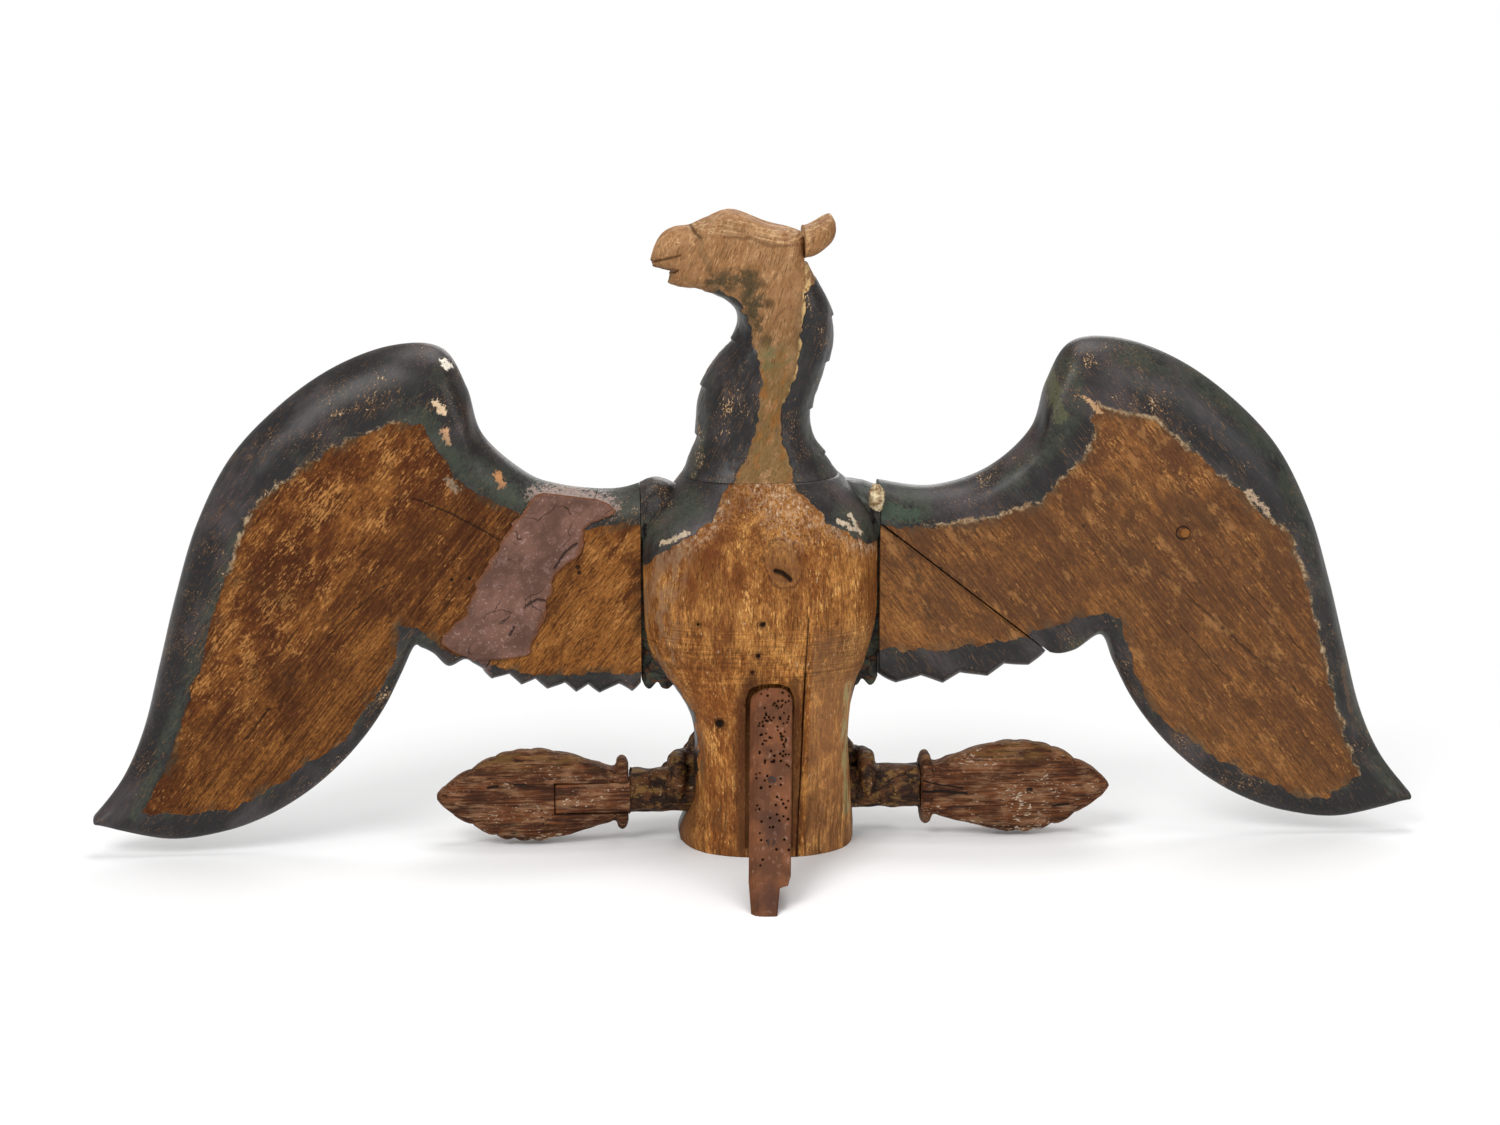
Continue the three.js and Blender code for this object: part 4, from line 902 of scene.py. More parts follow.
def make_leaf_end(name):
    """Leaf end: a collar, then a board whose edges swell in lobes, veined in front and plain at the back."""
    side, shoulder = (-1, BAR_LEFT) if name == "left" else (1, BAR_RIGHT)
    d, top, bottom, back, wide, front, square = spread(LEAF_STATIONS, 300).T
    blade = ease(20, 40, d) * ease(LEAF_LENGTH, 160, d)
    lobe = np.abs(np.sin(math.pi * (d + 5 * np.sin(d / 17) - 24) / 21)) ** 0.6
    top -= blade * (0.8 + 2.2 * ease(100, 150, d)) * (1 - lobe)
    bottom += blade * (0.6 + 2.6 * ease(60, 100, d)) * (1 - lobe)
    x = shoulder + side * d
    rings, angle = carved_rings(np.stack([x, top, x, bottom, back, wide, front, square], axis=1), 210)
    z = rings[..., 2]
    middle = ((top + bottom) / 2)[:, None]
    height = -0.5 + 0.5 * ripple(rings, 26, 61) + 0.28 * ripple(rings * (0.25, 1, 1), 6, 62)
    fold = (d[:, None] - 1.1 * np.abs(z - middle) - 24) / 23
    midrib = 1.2 * np.exp(-(((z - middle) / 4) ** 2))
    veins = -1.6 * (1 - np.abs(np.sin(math.pi * fold)) ** 0.5) + midrib - 1.6
    front_side = angle > math.pi
    height = np.where(front_side & (blade[:, None] > 0.2), veins * blade[:, None], height)
    rings = raised(rings, height)
    rings[..., 0] = np.maximum(rings[..., 0] * side, shoulder * side + GAP) * side
    leaf = skin_piece(f"{name}_leaf_end", rings, {"front": front_side + 0 * z})
    near, far = shoulder - side * 10, shoulder + side * (TENON_LENGTH + GAP)
    low, high = TENON_Z - TENON_HEIGHT / 2 - GAP, TENON_Z + TENON_HEIGHT / 2 + GAP
    back = -30 if name == "left" else BLIND_TENON_BACK_Y - GAP
    outline = [(near, low), (far, low), (far, high), (near, high)]
    cut(leaf, prism("mortise", outline, back, TENON_FRONT_Y + GAP))
    return leaf


def limb(path, radii, ridges=0):
    """Tapered round limb along a path, with ring-like ridges across it. Returns points and face groups."""
    steps, corners = 70, 30
    middle, radius = spread(path, steps), spread([[r] for r in radii], steps)
    radius = radius * (1 + 0.05 * np.cos(np.linspace(0, 2 * math.pi * ridges, steps)))[:, None]
    tangent = np.gradient(middle, axis=0)
    tangent /= np.linalg.norm(tangent, axis=1, keepdims=True)
    across = np.cross((1, 0, 0), tangent)
    across /= np.linalg.norm(across, axis=1, keepdims=True)
    up = np.cross(across, tangent)
    angle = np.linspace(0, 2 * math.pi, corners, endpoint=False)
    c, s = np.cos(angle)[None, :, None], np.sin(angle)[None, :, None]
    return closed_skin(middle[:, None] + radius[:, None] * (across[:, None] * c + up[:, None] * s))


def beside_bar(x, degrees):
    """Point beside the bar at an angle from straight in front, turning up."""
    angle, reach = math.radians(degrees), BAR_RADIUS + 6.3
    return (x, BAR_Y + reach * math.cos(angle), BAR_Z + reach * math.sin(angle))


def make_foot(name):
    """Foot: a shank, three toes curled over the front of the bar and one behind, melted into one form."""
    side, edge = (-1, -60) if name == "left" else (1, 88)
    knuckle, thigh = edge + side * 4, edge - side * 26
    hub = (knuckle - side * 3, 60, 70)
    limbs = [limb(
        [(thigh, 84, 168), (thigh, 82, 140), (thigh + side, 76, 108), (knuckle - side * 14, 67, 86),
         (knuckle - side * 4, 60, 70)], (15, 13, 11, 10, 11), 9,
    )]
    for reach in (15, 29, 43):
        toe = [
            beside_bar(knuckle + side * (reach - 4) * min(1, (k + 1) / 3), degrees)
            for k, degrees in enumerate((30, 2, -26, -55))
        ]
        limbs.append(limb([hub] + toe, (9, 8.5, 7.5, 6, 1.6), 10))
    hind = [beside_bar(edge + side * 14, degrees) for degrees in (85, 120, 155, 190)]
    limbs.append(limb([hub] + hind, (10, 8.5, 8, 6.5, 1.6), 10))
    heel = [(edge - side * 15, 50, 98), (edge - side * 7, 48, 83), (edge + side * 2, 44, 66)]
    limbs.append(limb(heel, (9, 10, 11), 4))
    points, groups, offset = [], [], 0
    for verts, faces in limbs:
        points.append(verts)
        groups += [face + offset for face in faces]
        offset += len(verts)
    quads = [g for g in groups if g.shape[1] == 4]
    fans = [g for g in groups if g.shape[1] == 3]
    foot = make_mesh(f"{name}_foot", np.concatenate(points), [np.concatenate(quads), np.concatenate(fans)])
    remesh = foot.modifiers.new("one form", "REMESH")
    remesh.mode, remesh.voxel_size, remesh.use_smooth_shade = "VOXEL", 1.3 * MM, True
    smooth = foot.modifiers.new("worn", "SMOOTH")
    smooth.factor, smooth.iterations = 0.5, 3
    settle(foot)
    return foot


def strut_frame():
    """Directions of the strut in millimetres: across, down along it, inward through it, and its length."""
    down = np.subtract(STRUT_FOOT, STRUT_TOP).astype(float)
    length = np.linalg.norm(down)
    down /= length
    across = np.cross((0, 0, 1), down)
    across /= np.linalg.norm(across)
    return across, down, np.cross(across, down), length


def make_strut(holes):
    """Leaning batten: a rounded top, a chamfered left arris, a notch above the narrow foot, and wormholes
    that crowd towards the top. Its end is cut level with the ground."""
    across, down, inward, length = strut_frame()
    s = np.linspace(0, 1, 470)[:, None]
    d = s * length
    left = np.interp(d, [0, 2, 6, 12, length * 0.86, length + 40], [-9, -14, -17.8, -19, -19, -13])
    right = np.interp(
        d, [0, 2, 7, 14, length * 0.83, length * 0.87, length * 0.88, length + 40],
        [9, 13.5, 17.5, 19, 18.5, 16, 9, 4],
    )
    face, edge, back, far, slant = 76, 24, 30, 20, 9
    ramp = lambda count: np.linspace(0, 1, count, endpoint=False)
    u = np.concatenate([ramp(face), np.ones(edge), 1 - ramp(back), np.zeros(far), np.zeros(slant)])
    chamfer = np.concatenate([np.ones(face), np.zeros(edge + back + far), ramp(slant)]) * np.concatenate(
        [1 - ramp(face), np.zeros(edge + back + far), np.ones(slant)])
    i = np.concatenate([
        np.zeros(face), ramp(edge) * STRUT_THICKNESS, np.full(back, STRUT_THICKNESS),
        STRUT_THICKNESS + ramp(far) * (6 - STRUT_THICKNESS), 6 - 6 * ramp(slant),
    ]) + 0 * s
    a = left + (right - left) * u + 6 * chamfer
    d = d + 0 * a
    on_face = np.arange(a.shape[1]) < face
    arris = np.minimum(np.abs(a - right), np.abs(a - left - 6))
    worn = 0.9 * np.exp(-((arris / 1.2) ** 2)) + 0.25
    rng = np.random.default_rng(77)
    hole = np.zeros(a.shape)
    for _ in range(holes):
        at = rng.uniform(-16, 17), length * 0.9 * rng.beta(1.0, 2.3), rng.uniform(0.75, 1.15)
        hole = np.maximum(hole, np.exp(-((np.hypot(a - at[0], (d - at[1]) * 0.85) / at[2]) ** 4)))
    hole = np.where(on_face & (i < 1), hole, 0)
    grain = np.stack([a, i, d * 0.06], axis=2)
    rough = 0.28 * (1 + ripple(grain, 4.5, 78)) + 0.3 * (1 + ripple(grain * (1, 1, 4), 30, 79))
    depth = worn + 2.6 * hole + rough
    outwards = np.where(i < 1, 1.0, np.where(i > STRUT_THICKNESS - 1, -1.0, 0.0))
    i = i + depth * outwards
    a = a - np.sign(a - (left + right) / 2) * 0.3 * (1 + ripple(grain, 7, 80)) * (outwards == 0)
    d = s * (STRUT_TOP[2] + i * inward[2]) / -down[2]
    points = np.array(STRUT_TOP) + a[..., None] * across + d[..., None] * down + i[..., None] * inward
    points[..., 2] = np.maximum(points[..., 2], 0)
    return skin_piece("back_strut", points, {"hole": hole})


# Materials


def srgb(red, green, blue):
    """Linear colour from the 0 to 255 values of a display colour."""
    linear = [((c / 255 + 0.055) / 1.055) ** 2.4 if c > 10.3 else c / 3294.6 for c in (red, green, blue)]
    return (*linear, 1.0)


# Tones of marks that no setting changes
TONES = {name: srgb(*values) for name, values in {
    "wing_shade": (46, 26, 12), "crack": (30, 16, 8), "nail_hole": (24, 12, 6), "wing_stain": (70, 40, 22),
    "wing_rub": (168, 118, 66), "wing_dust": (160, 124, 92), "plug_joint": (26, 14, 8),
    "knot": (128, 88, 54), "knot_ring": (74, 42, 22), "knot_heart": (92, 56, 32), "split": (24, 13, 7),
    "scuff": (198, 164, 132), "scuff_fleck": (206, 182, 152), "red_stain": (104, 54, 26),
    "grey_film": (142, 112, 84), "hole_rim": (60, 34, 18), "hole": (16, 9, 5), "olive_strip": (142, 136, 92),
    "board_joint": (40, 22, 12), "slot_shade": (64, 34, 18), "side_board": (140, 110, 78),
    "base_stain": (78, 48, 24), "cheek": (50, 50, 36), "upper_edge": (212, 180, 136),
    "strands": (122, 84, 54), "brow": (88, 52, 30), "beak_line": (70, 42, 22),
    "cheek_line": (92, 70, 44), "head_knot": (78, 58, 34), "neck_green": (112, 116, 78),
    "neck_strip": (206, 172, 118), "neck_olive": (116, 94, 52), "neck_orange": (160, 98, 40),
    "putty_dust": (146, 118, 112), "putty_crack": (40, 24, 20), "putty_speck": (178, 152, 142),
    "gesso_hollow": (128, 98, 66), "gesso_dirt": (86, 60, 40),
    "leaf_flake": (198, 180, 156), "leaf_split": (30, 16, 10), "leaf_hole": (16, 8, 5),
    "bark_crack": (22, 13, 8), "strut_dust": (160, 124, 104), "strut_stain": (58, 34, 26),
    "wormhole": (10, 6, 4), "rust": (74, 42, 26),
}.items()}


def adding(operation, swapped=False):
    """An operator of Value that adds one Math node."""

    def act(self, other):
        return self.recipe.math(operation, *((other, self) if swapped else (self, other)))

    return act


class Value:
    """A shader socket in a sum."""

    def __init__(self, recipe, socket):
        self.recipe, self.socket = recipe, socket

    __add__ = __radd__ = adding("ADD")
    __sub__, __rsub__ = adding("SUBTRACT"), adding("SUBTRACT", swapped=True)
    __mul__ = __rmul__ = adding("MULTIPLY")
    __truediv__, __pow__ = adding("DIVIDE"), adding("POWER")


class Tree:
    """A node tree of a material or a world, emptied of its nodes to start with."""

    def __init__(self, owner):
        owner.use_nodes = True
        self.tree = owner.node_tree
        self.tree.nodes.clear()

    def node(self, kind, settings=None, inputs=None, output=0):
        """Adds a node with its settings and inputs, and returns one of its outputs, if it has any."""
        node = self.tree.nodes.new(kind)
        for key, value in (settings or {}).items():
            setattr(node, key, value)
        for key, value in (inputs or {}).items():
            if isinstance(value, Value):
                self.tree.links.new(value.socket, node.inputs[key])
            else:
                node.inputs[key].default_value = value
        return Value(self, node.outputs[output]) if node.outputs else None


class Recipe(Tree):
    """One material's node tree. Places are object coordinates in millimetres; grain is the direction
    of the wood's grain in the XZ plane, in radians up from +X."""

    def __init__(self, name, grain=math.pi / 2):
        self.material = bpy.data.materials.new(name)
        super().__init__(self.material)
        self.grain = grain
        coordinates = self.node("ShaderNodeTexCoord", output="Object")
        inputs = {0: coordinates, "Scale": 1 / MM}
        self.place = self.node("ShaderNodeVectorMath", {"operation": "SCALE"}, inputs)
        self.x, self.y, self.z = (
            self.node("ShaderNodeSeparateXYZ", {}, {0: self.place}, axis) for axis in "XYZ")

    def math(self, operation, a, b=0.0, clamp=False):
        return self.node("ShaderNodeMath", {"operation": operation, "use_clamp": clamp}, {0: a, 1: b})

    def largest(self, *values):
        total = values[0]
        for value in values[1:]:
            total = self.math("MAXIMUM", total, value)
        return total

    def step(self, low, high, value):
        """0 below low and 1 above high, eased; low may be above high."""
        inputs = {"Value": value, "From Min": low, "From Max": high}
        return self.node("ShaderNodeMapRange", {"interpolation_type": "SMOOTHSTEP"}, inputs)

    def mix(self, factor, a, b):
        """Colour a under colour b, or under the tone that b names, by a factor."""
        b = TONES[b] if isinstance(b, str) else b
        return self.node("ShaderNodeMix", {"data_type": "RGBA"}, {0: factor, 6: a, 7: b}, 2)

    def shade(self, colour, factor):
        """Colour made darker or lighter by a factor."""
        colour = colour if isinstance(colour, Value) else colour[:3]
        return self.node("ShaderNodeVectorMath", {"operation": "SCALE"}, {0: colour, "Scale": factor})

    def attribute(self, name):
        return self.node("ShaderNodeAttribute", {"attribute_name": name}, {}, "Fac")

    def mapped(self, size, seed=0.0, grain=None):
        """Places divided by a size of along, depth and across the grain."""
        turn = self.grain if grain is None else grain
        inputs = {"Vector": self.place, "Location": (seed * 37.0, seed * 11.0, seed * 53.0)}
        inputs.update({"Rotation": (0, -turn, 0), "Scale": size})
        return self.node("ShaderNodeMapping", {"vector_type": "TEXTURE"}, inputs)

    def noise(self, along, across=None, detail=3.0, seed=0.0, rough=0.55, grain=None, bend=0.0):
        """Noise whose features are along by across millimetres, from about 0.25 to 0.75, bent by bend."""
        across = along if across is None else across
        vector = self.mapped((along, across, across), seed, grain)
        inputs = {"Vector": vector, "Scale": 1.0, "Detail": detail, "Roughness": rough, "Distortion": bend}
        return self.node("ShaderNodeTexNoise", {}, inputs)

    def cracks(self, size, width, seed=0.0, stretch=1.0):
        """Lines between random cells of a size, 1 on the line."""
        vector = self.mapped((size * stretch, size, size), seed)
        bent = self.node("ShaderNodeTexNoise", {}, {"Vector": vector, "Scale": 1.7, "Detail": 2.0}, "Color")
        bent = self.node("ShaderNodeVectorMath", {"operation": "SCALE"}, {0: bent, "Scale": 0.7})
        vector = self.node("ShaderNodeVectorMath", {"operation": "ADD"}, {0: vector, 1: bent})
        inputs = {"Vector": vector, "Scale": 1.0}
        edge = self.node("ShaderNodeTexVoronoi", {"feature": "DISTANCE_TO_EDGE"}, inputs)
        return self.step(width / size, 0.0, edge)

    def line_distance(self, points, wobble=0.0, waves=14):
        """Distance in millimetres to a broken line of x, z points, bent by noise of wobble in waves."""
        x, z = self.x, self.z
        if wobble:
            x = x + (self.noise(waves, seed=5.3) - 0.5) * wobble
            z = z + (self.noise(waves, seed=8.1) - 0.5) * wobble
        best = None
        for (x0, z0), (x1, z1) in zip(points[:-1], points[1:]):
            dx, dz = x1 - x0, z1 - z0
            square = dx * dx + dz * dz
            t = self.math("ADD", ((x - x0) * dx + (z - z0) * dz) / square, 0.0, clamp=True)
            away = self.math("SQRT", (x - x0 - t * dx) ** 2 + (z - z0 - t * dz) ** 2)
            best = away if best is None else self.math("MINIMUM", best, away)
        return best

    def band(self, points, outer, inner, wobble=0.0):
        """1 nearer to a broken line than inner, falling to 0 at outer."""
        return self.step(outer, inner, self.line_distance(points, wobble))

    def ring(self, distance, radius, outer, inner):
        """1 where a distance is within inner of radius, falling to 0 at outer."""
        return self.step(outer, inner, self.math("ABSOLUTE", distance - radius))

    def crack(self, points, width, wobble=4.0):
        """A thin crack along a broken line."""
        return self.band(points, width, width * 0.35, wobble)

    def spot(self, x, z, radius, soft=0.5, wobble=0.0):
        """1 within radius of a place, falling to 0 over the soft share of it."""
        return self.band([(x, z), (x + 0.01, z)], radius * (1 + soft), radius * (1 - soft), wobble)

    def patches(self, low, high, *size, **more):
        """Noise as separate patches: 0 where it is below low and 1 above high."""
        return self.step(low, high, self.noise(*size, **more))

    def surface(self, colour, rough, height, specular=0.18, coat=0.0):
        """Ends the tree with a Principled shader whose bump takes height in millimetres."""
        normal = self.node("ShaderNodeBump", {}, {"Strength": 1.0, "Distance": MM, "Height": height})
        inputs = {"Base Color": colour, "Roughness": rough, "Normal": normal}
        inputs.update({"Specular IOR Level": specular, "Coat Weight": coat, "Coat Roughness": 0.35})
        shader = self.node("ShaderNodeBsdfPrincipled", {}, inputs)
        self.node("ShaderNodeOutputMaterial", {}, {"Surface": shader})
        return self.material


def bare_wood(r, dark, mid, light, fleck, glow, scale=1, fleck_share=0):
    """Old bare softwood: broad patches of dark and light, growth lines where the grain is open, short
    wavy flecks where the finish has gone, dark pores and stains. glow marks a rubbed ochre band.
    Returns its colour and its height."""
    broad = r.noise(110 * scale, 60 * scale, 4, 1)
    patch = r.noise(30 * scale, 14 * scale, 6, 2, 0.68, bend=0.4)
    lines = r.noise(320, 2.2, 2, 3, 0.5)
    zone = r.step(0.3, 0.75, r.attribute("grained") + 0.9 * (r.noise(95, 50, 3, 5) - 0.5))
    colour = r.mix(r.step(0.38, 0.6, broad * 0.4 + patch * 0.6), dark, mid)
    colour = r.mix(r.step(0.46, 0.64, patch * 0.6 + broad * 0.4 + 0.4 * glow) * 0.85, colour, light)
    stripe = r.step(0.42, 0.58, lines)
    colour = r.mix(stripe * zone * 0.45, r.shade(colour, 1 - 0.2 * zone), light)
    speckle = r.noise(3.6, 1.5, 4, 12, 0.75)
    colour = r.shade(colour, 0.15 + 1.7 * speckle)
    seams = r.patches(0.5, 0.58, 260, 2.6, 1, 15, 0.4)
    colour = r.mix(seams * zone * 0.5, colour, r.shade(dark, 0.7))
    cluster = 0.42 * (r.noise(40, 24, 3, 13) - 0.5) + 0.08 * (patch - 0.5) + fleck_share - 0.05 * zone
    short = 0.65 * r.noise(5, 1.9, 5, 6, 0.75, bend=0.3) + 0.35 * r.noise(15, 1.7, 3, 8, 0.6)
    short = short + cluster
    colour = r.mix(r.step(0.49, 0.4, short) * 0.62, colour, r.shade(dark, 0.64))
    flecks = r.step(0.53, 0.575, short) * (1 - 0.8 * glow)
    colour = r.mix(flecks * 0.82, colour, r.shade(fleck, 0.55 + 0.9 * speckle))
    pores = r.step(0.58, 0.66, r.noise(11, 1.1, 2, 7) + 0.15 * (lines - 0.5))
    colour = r.mix(pores * 0.65, colour, r.shade(dark, 0.35))
    streak = r.patches(0.58, 0.68, 70, 4, 4, 14, 0.6)
    stain = r.patches(0.58, 0.68, 20 * scale, 9 * scale, 6, 9, 0.7)
    colour = r.mix(r.largest(stain, streak) * 0.55, colour, r.shade(dark, 0.62))
    height = 0.5 * lines * (0.4 + zone) + 0.4 * speckle - 0.3 * pores + 0.25 * flecks + 0.25 * patch
    return colour, height


def old_paint(r, black, rubbed_paint_and_sheen, green, cream, ochre, edge, ridge):
    """Old near-black paint with paler patches, partly rubbed and partly a painted highlight for its gloss,
    green where the attribute says so and in a few patches, with chips down to cream ground and ochre
    wood, most of them on ridges. edge is the distance to the bare wood. Returns its colour, roughness
    and height."""
    broad = r.noise(70, 40, 4, 21)
    # Paler patches in broad noise: partly rubbed paint, partly a painted highlight standing in for the
    # paint's gloss.
    colour = r.mix(r.step(0.45, 0.68, broad), black, rubbed_paint_and_sheen)
    cloud = r.noise(34, 22, 5, 22, 0.62)
    blotch = r.noise(5, 3, 4, 27, 0.7)
    patches = r.largest(0.6 * r.step(-8, -1, edge) * r.step(0.5, 0.6, cloud), 0.4 * r.step(0.56, 0.68, cloud))
    near = r.largest(r.attribute("green") * r.step(0.4, 0.56, 0.6 * cloud + 0.4 * blotch), patches)
    colour = r.mix(near * 0.6, colour, r.shade(green, 0.3 + 1.3 * blotch))
    streak = r.noise(24, 1.8, 4, 29, 0.65)
    colour = r.shade(colour, 0.3 + 1.4 * streak)
    where = r.noise(40, 30, 4, 24)
    cluster = r.attribute("worn") * r.patches(0.42, 0.6, 16, 12, 4, 28, 0.65)
    worn = r.noise(2.6, 1.6, 4, 23, 0.75) + 0.4 * (where - 0.5) + 0.1 * (ridge - 0.5) + 0.09 * cluster
    ochre_chip = r.step(0.635, 0.66, worn)
    cream_chip = r.step(0.69, 0.72, worn)
    scratch = r.step(0.6, 0.66, r.noise(14, 0.9, 3, 25) + 0.3 * (where - 0.5))
    colour = r.mix(scratch * 0.4, colour, ochre)
    colour = r.mix(ochre_chip * 0.8, colour, ochre)
    colour = r.mix(cream_chip * 0.9, colour, cream)
    rough = 0.36 + 0.35 * ochre_chip + 0.3 * (broad - 0.4) + 0.15 * (streak - 0.5) + 0.12 * near
    height = 0.2 * broad - 0.35 * ochre_chip + 0.3 * streak + 0.3 * near * blotch
    return colour, rough, height


def carved_front(r, ridge):
    """1 on the tips and ribs of the carved feathers, 0 in the cuts between them."""
    return r.step(0.55, 0.95, ridge + 0.5 * (r.noise(20, 8, 3, 31) - 0.5))


def worn_carving(name, grain, wood, paint, marks, smears_and_gap_shade=(), fleck_share=0, scale=1):
    """Bare wood inside a border of old paint, which also covers the carved front. wood holds the dark,
    mid, light and fleck colours and paint the black, sheen, green, cream and ochre ones. marks adds
    dark and pale marks to the wood; smears are places, widths, colours and strengths over everything:
    paint and filler, and near-black dots of painted shade at the tops of the gaps beside the body."""
    r = Recipe(name, grain)
    field, front, ridge, glow = (r.attribute(key) for key in ("field", "front", "ridge", "glow"))
    edge = field + 3.4 * (r.noise(5, 4, 5, 41, 0.72) - 0.5)
    bare = r.step(-0.35, 0.35, edge)
    colour, height = bare_wood(r, *wood, glow, scale, fleck_share)
    # Dirt and painted shade: the wood darkens in patches within 10 mm of the paint. This is partly dirt
    # against the paint's step and partly shade painted into the corner at the step.
    dirt_and_shade = r.step(10, 0.2, edge) * r.step(0.38, 0.6, r.noise(22, 12, 4, 42) - 0.1 * glow)
    green_film = r.step(11, 0, edge) * r.patches(0.46, 0.6, 34, 18, 4, 43)
    colour = r.mix(green_film * 0.5, colour, paint[2])
    colour = r.mix(dirt_and_shade * 0.6, colour, r.shade(wood[0], 0.8))
    rough = 0.66 + 0.25 * (r.noise(40, 20, 3, 44) - 0.5)
    colour, height = marks(r, colour, height)
    film, film_rough, film_height = old_paint(r, *paint, edge, ridge * front + 0.5 * (1 - front))
    flaked = 0.17 * (r.attribute("rim") - 0.75) + r.noise(46, 46, 2, 46) * 0.4
    flaked = flaked + r.noise(5, 4, 5, 45, 0.72) * 0.6
    wide = r.noise(13, 13, 3, 47)
    rim = r.ring(edge, -0.6, 6 * wide, 5 * wide - 1.8) * r.step(0.5, 0.57, flaked)
    film = r.mix(front * carved_front(r, ridge) * 0.55, film, paint[4])
    colour = r.mix(bare, film, colour)
    chalk = r.mix(r.patches(0.35, 0.7, 4, 3, 4, 48, 0.7), r.shade(paint[4], 0.7), r.shade(paint[3], 0.85))
    colour = r.mix(rim * 0.85 * (1 - front), colour, chalk)
    ragged = r.noise(4, 3, 5, 49, 0.75)
    for points, width, tint, strength in smears_and_gap_shade:
        film = r.step(width * 1.5, 0, r.line_distance(points, width * 0.9, 6))
        film = r.step(0.5, 0.6, 1.6 * ragged + 0.55 * film - 0.62) * strength * (1 - front)
        colour = r.mix(film, colour, r.shade(srgb(*tint), 0.55 + 0.8 * ragged))
    rough = rough * bare + film_rough * (1 - bare)
    height = height * bare + (film_height + 0.5) * (1 - bare) + 0.4 * rim
    return r.surface(colour, rough, height, specular=0.12, coat=0.3 * (1 - bare))


# Marks on the bare wood and over the paint

SMEARS_AND_GAP_SHADE = {
    "left": [
        ([(-204, 332), (-170, 331), (-136, 322)], 13, (148, 126, 116), 0.85),
        ([(-292, 421), (-285, 413)], 5.5, (206, 178, 146), 1),
        ([(-284, 395), (-282, 386)], 5.5, (196, 150, 112), 1),
        ([(-237, 353), (-233, 344)], 5.5, (178, 124, 78), 1),
        ([(-284, 456), (-279, 452)], 5, (222, 212, 196), 1),
        ([(-281, 350), (-275, 342)], 5, (150, 132, 110), 0.7),
        ([(-253, 182), (-251, 172)], 8, (92, 66, 60), 0.9),
        # Near-black: painted shade at the top of the gap between the left wing root and the body.
        ([(-100, 308), (-98, 296)], 4, (22, 20, 16), 1),
        ([(-302, 408), (-278, 374), (-266, 354), (-236, 340), (-206, 326)], 11, (58, 66, 52), 0.35),
    ],
    "right": [
        ([(298, 420), (312, 406)], 4, (190, 150, 110), 0.9),
        ([(262, 470), (268, 440), (276, 400)], 10, (96, 98, 66), 0.5),
        ([(112, 318), (140, 311)], 11, (62, 80, 62), 0.6),
        ([(452, 330), (470, 310)], 5, (176, 150, 124), 0.9),
        ([(548, 160), (556, 118)], 4, (96, 72, 54), 0.6),
    ],
    "body": [
        # Near-black: painted shade at the tops of the gaps between the body and the wing roots.
        ([(-104, 306), (-104, 298)], 3.5, (20, 16, 12), 1),
        ([(104, 318), (106, 306)], 3.5, (20, 16, 12), 1),
        ([(-90, 293), (-66, 305)], 3.2, (190, 168, 140), 0.8),
        ([(70, 313), (92, 301)], 3.2, (206, 184, 158), 0.8),
        ([(82, 317), (87, 308)], 2.8, (206, 188, 162), 0.8),
    ],
}


WING_CRACKS = {
    "right": [
        ([(374, 255), (423, 209), (449, 186), (475, 163), (508, 136)], 0.9),
        ([(392, 205), (440, 150)], 0.5), ([(450, 240), (505, 180)], 0.5),
    ],
    "left": [
        ([(-396, 205), (-376, 224), (-342, 254)], 0.6), ([(-440, 190), (-420, 214)], 0.5),
        ([(-314, 334), (-276, 318), (-236, 295)], 0.7), ([(-470, 112), (-448, 140)], 0.6),
    ],
}
WING_HOLES = {
    "right": [(300, 300, 1.6), (168, 262, 1.4)],
    "left": [(-165, 268, 2), (-164, 263, 1.8), (-264, 259, 1.6), (-280, 258, 1.4)],
}
WING_SHADOWS = {
    "right": [
        ([(330, 330), (350, 300), (345, 275)], 20, 0.55), ([(380, 320), (412, 300)], 16, 0.5),
        ([(140, 276), (152, 236), (158, 216)], 5, 0.8),
    ],
    "left": [
        ([(-455, 176), (-430, 170)], 13, 0.6), ([(-470, 270), (-430, 240)], 20, 0.4),
        ([(-110, 270), (-108, 200)], 9, 0.6),
    ],
}
PLUG_CENTRE, PLUG_RADIUS = [(392, 292), (392.1, 292)], 6


def wing_marks(name):
    """Marks on a wing's bare wood: the open cracks, the nail holes and the shaded root."""

    def add(r, colour, height):
        cloud = r.patches(0.4, 0.56, 16, 9, 5, 51, 0.65)
        for points, width, strength in WING_SHADOWS[name]:
            shadow = r.band(points, width * 1.4, 0, width) * cloud
            colour = r.mix(shadow * strength, colour, "wing_shade")
        for points, width in WING_CRACKS[name]:
            line = r.crack(points, width * 1.5, 5)
            colour = r.mix(line * 0.7, colour, "crack")
            height = height - 1.2 * line
        for x, z, radius in WING_HOLES[name]:
            dot = r.spot(x, z, radius, 0.3)
            colour = r.mix(dot * 0.9, colour, "nail_hole")
            height = height - 1.4 * dot
        if name == "right":
            colour = r.mix(r.patches(0.52, 0.62, 48, 14, 5, 52, 0.68) * 0.45, colour, "wing_stain")
            colour = r.mix(r.patches(0.56, 0.66, 30, 12, 5, 53, 0.68) * 0.5, colour, "wing_rub")
            colour = r.mix(0.12, colour, "wing_dust")
            plug = r.ring(r.line_distance(PLUG_CENTRE), PLUG_RADIUS, 1.3, 0.5)
            colour = r.mix(plug * 0.85, colour, "plug_joint")
        return colour, height

    return add


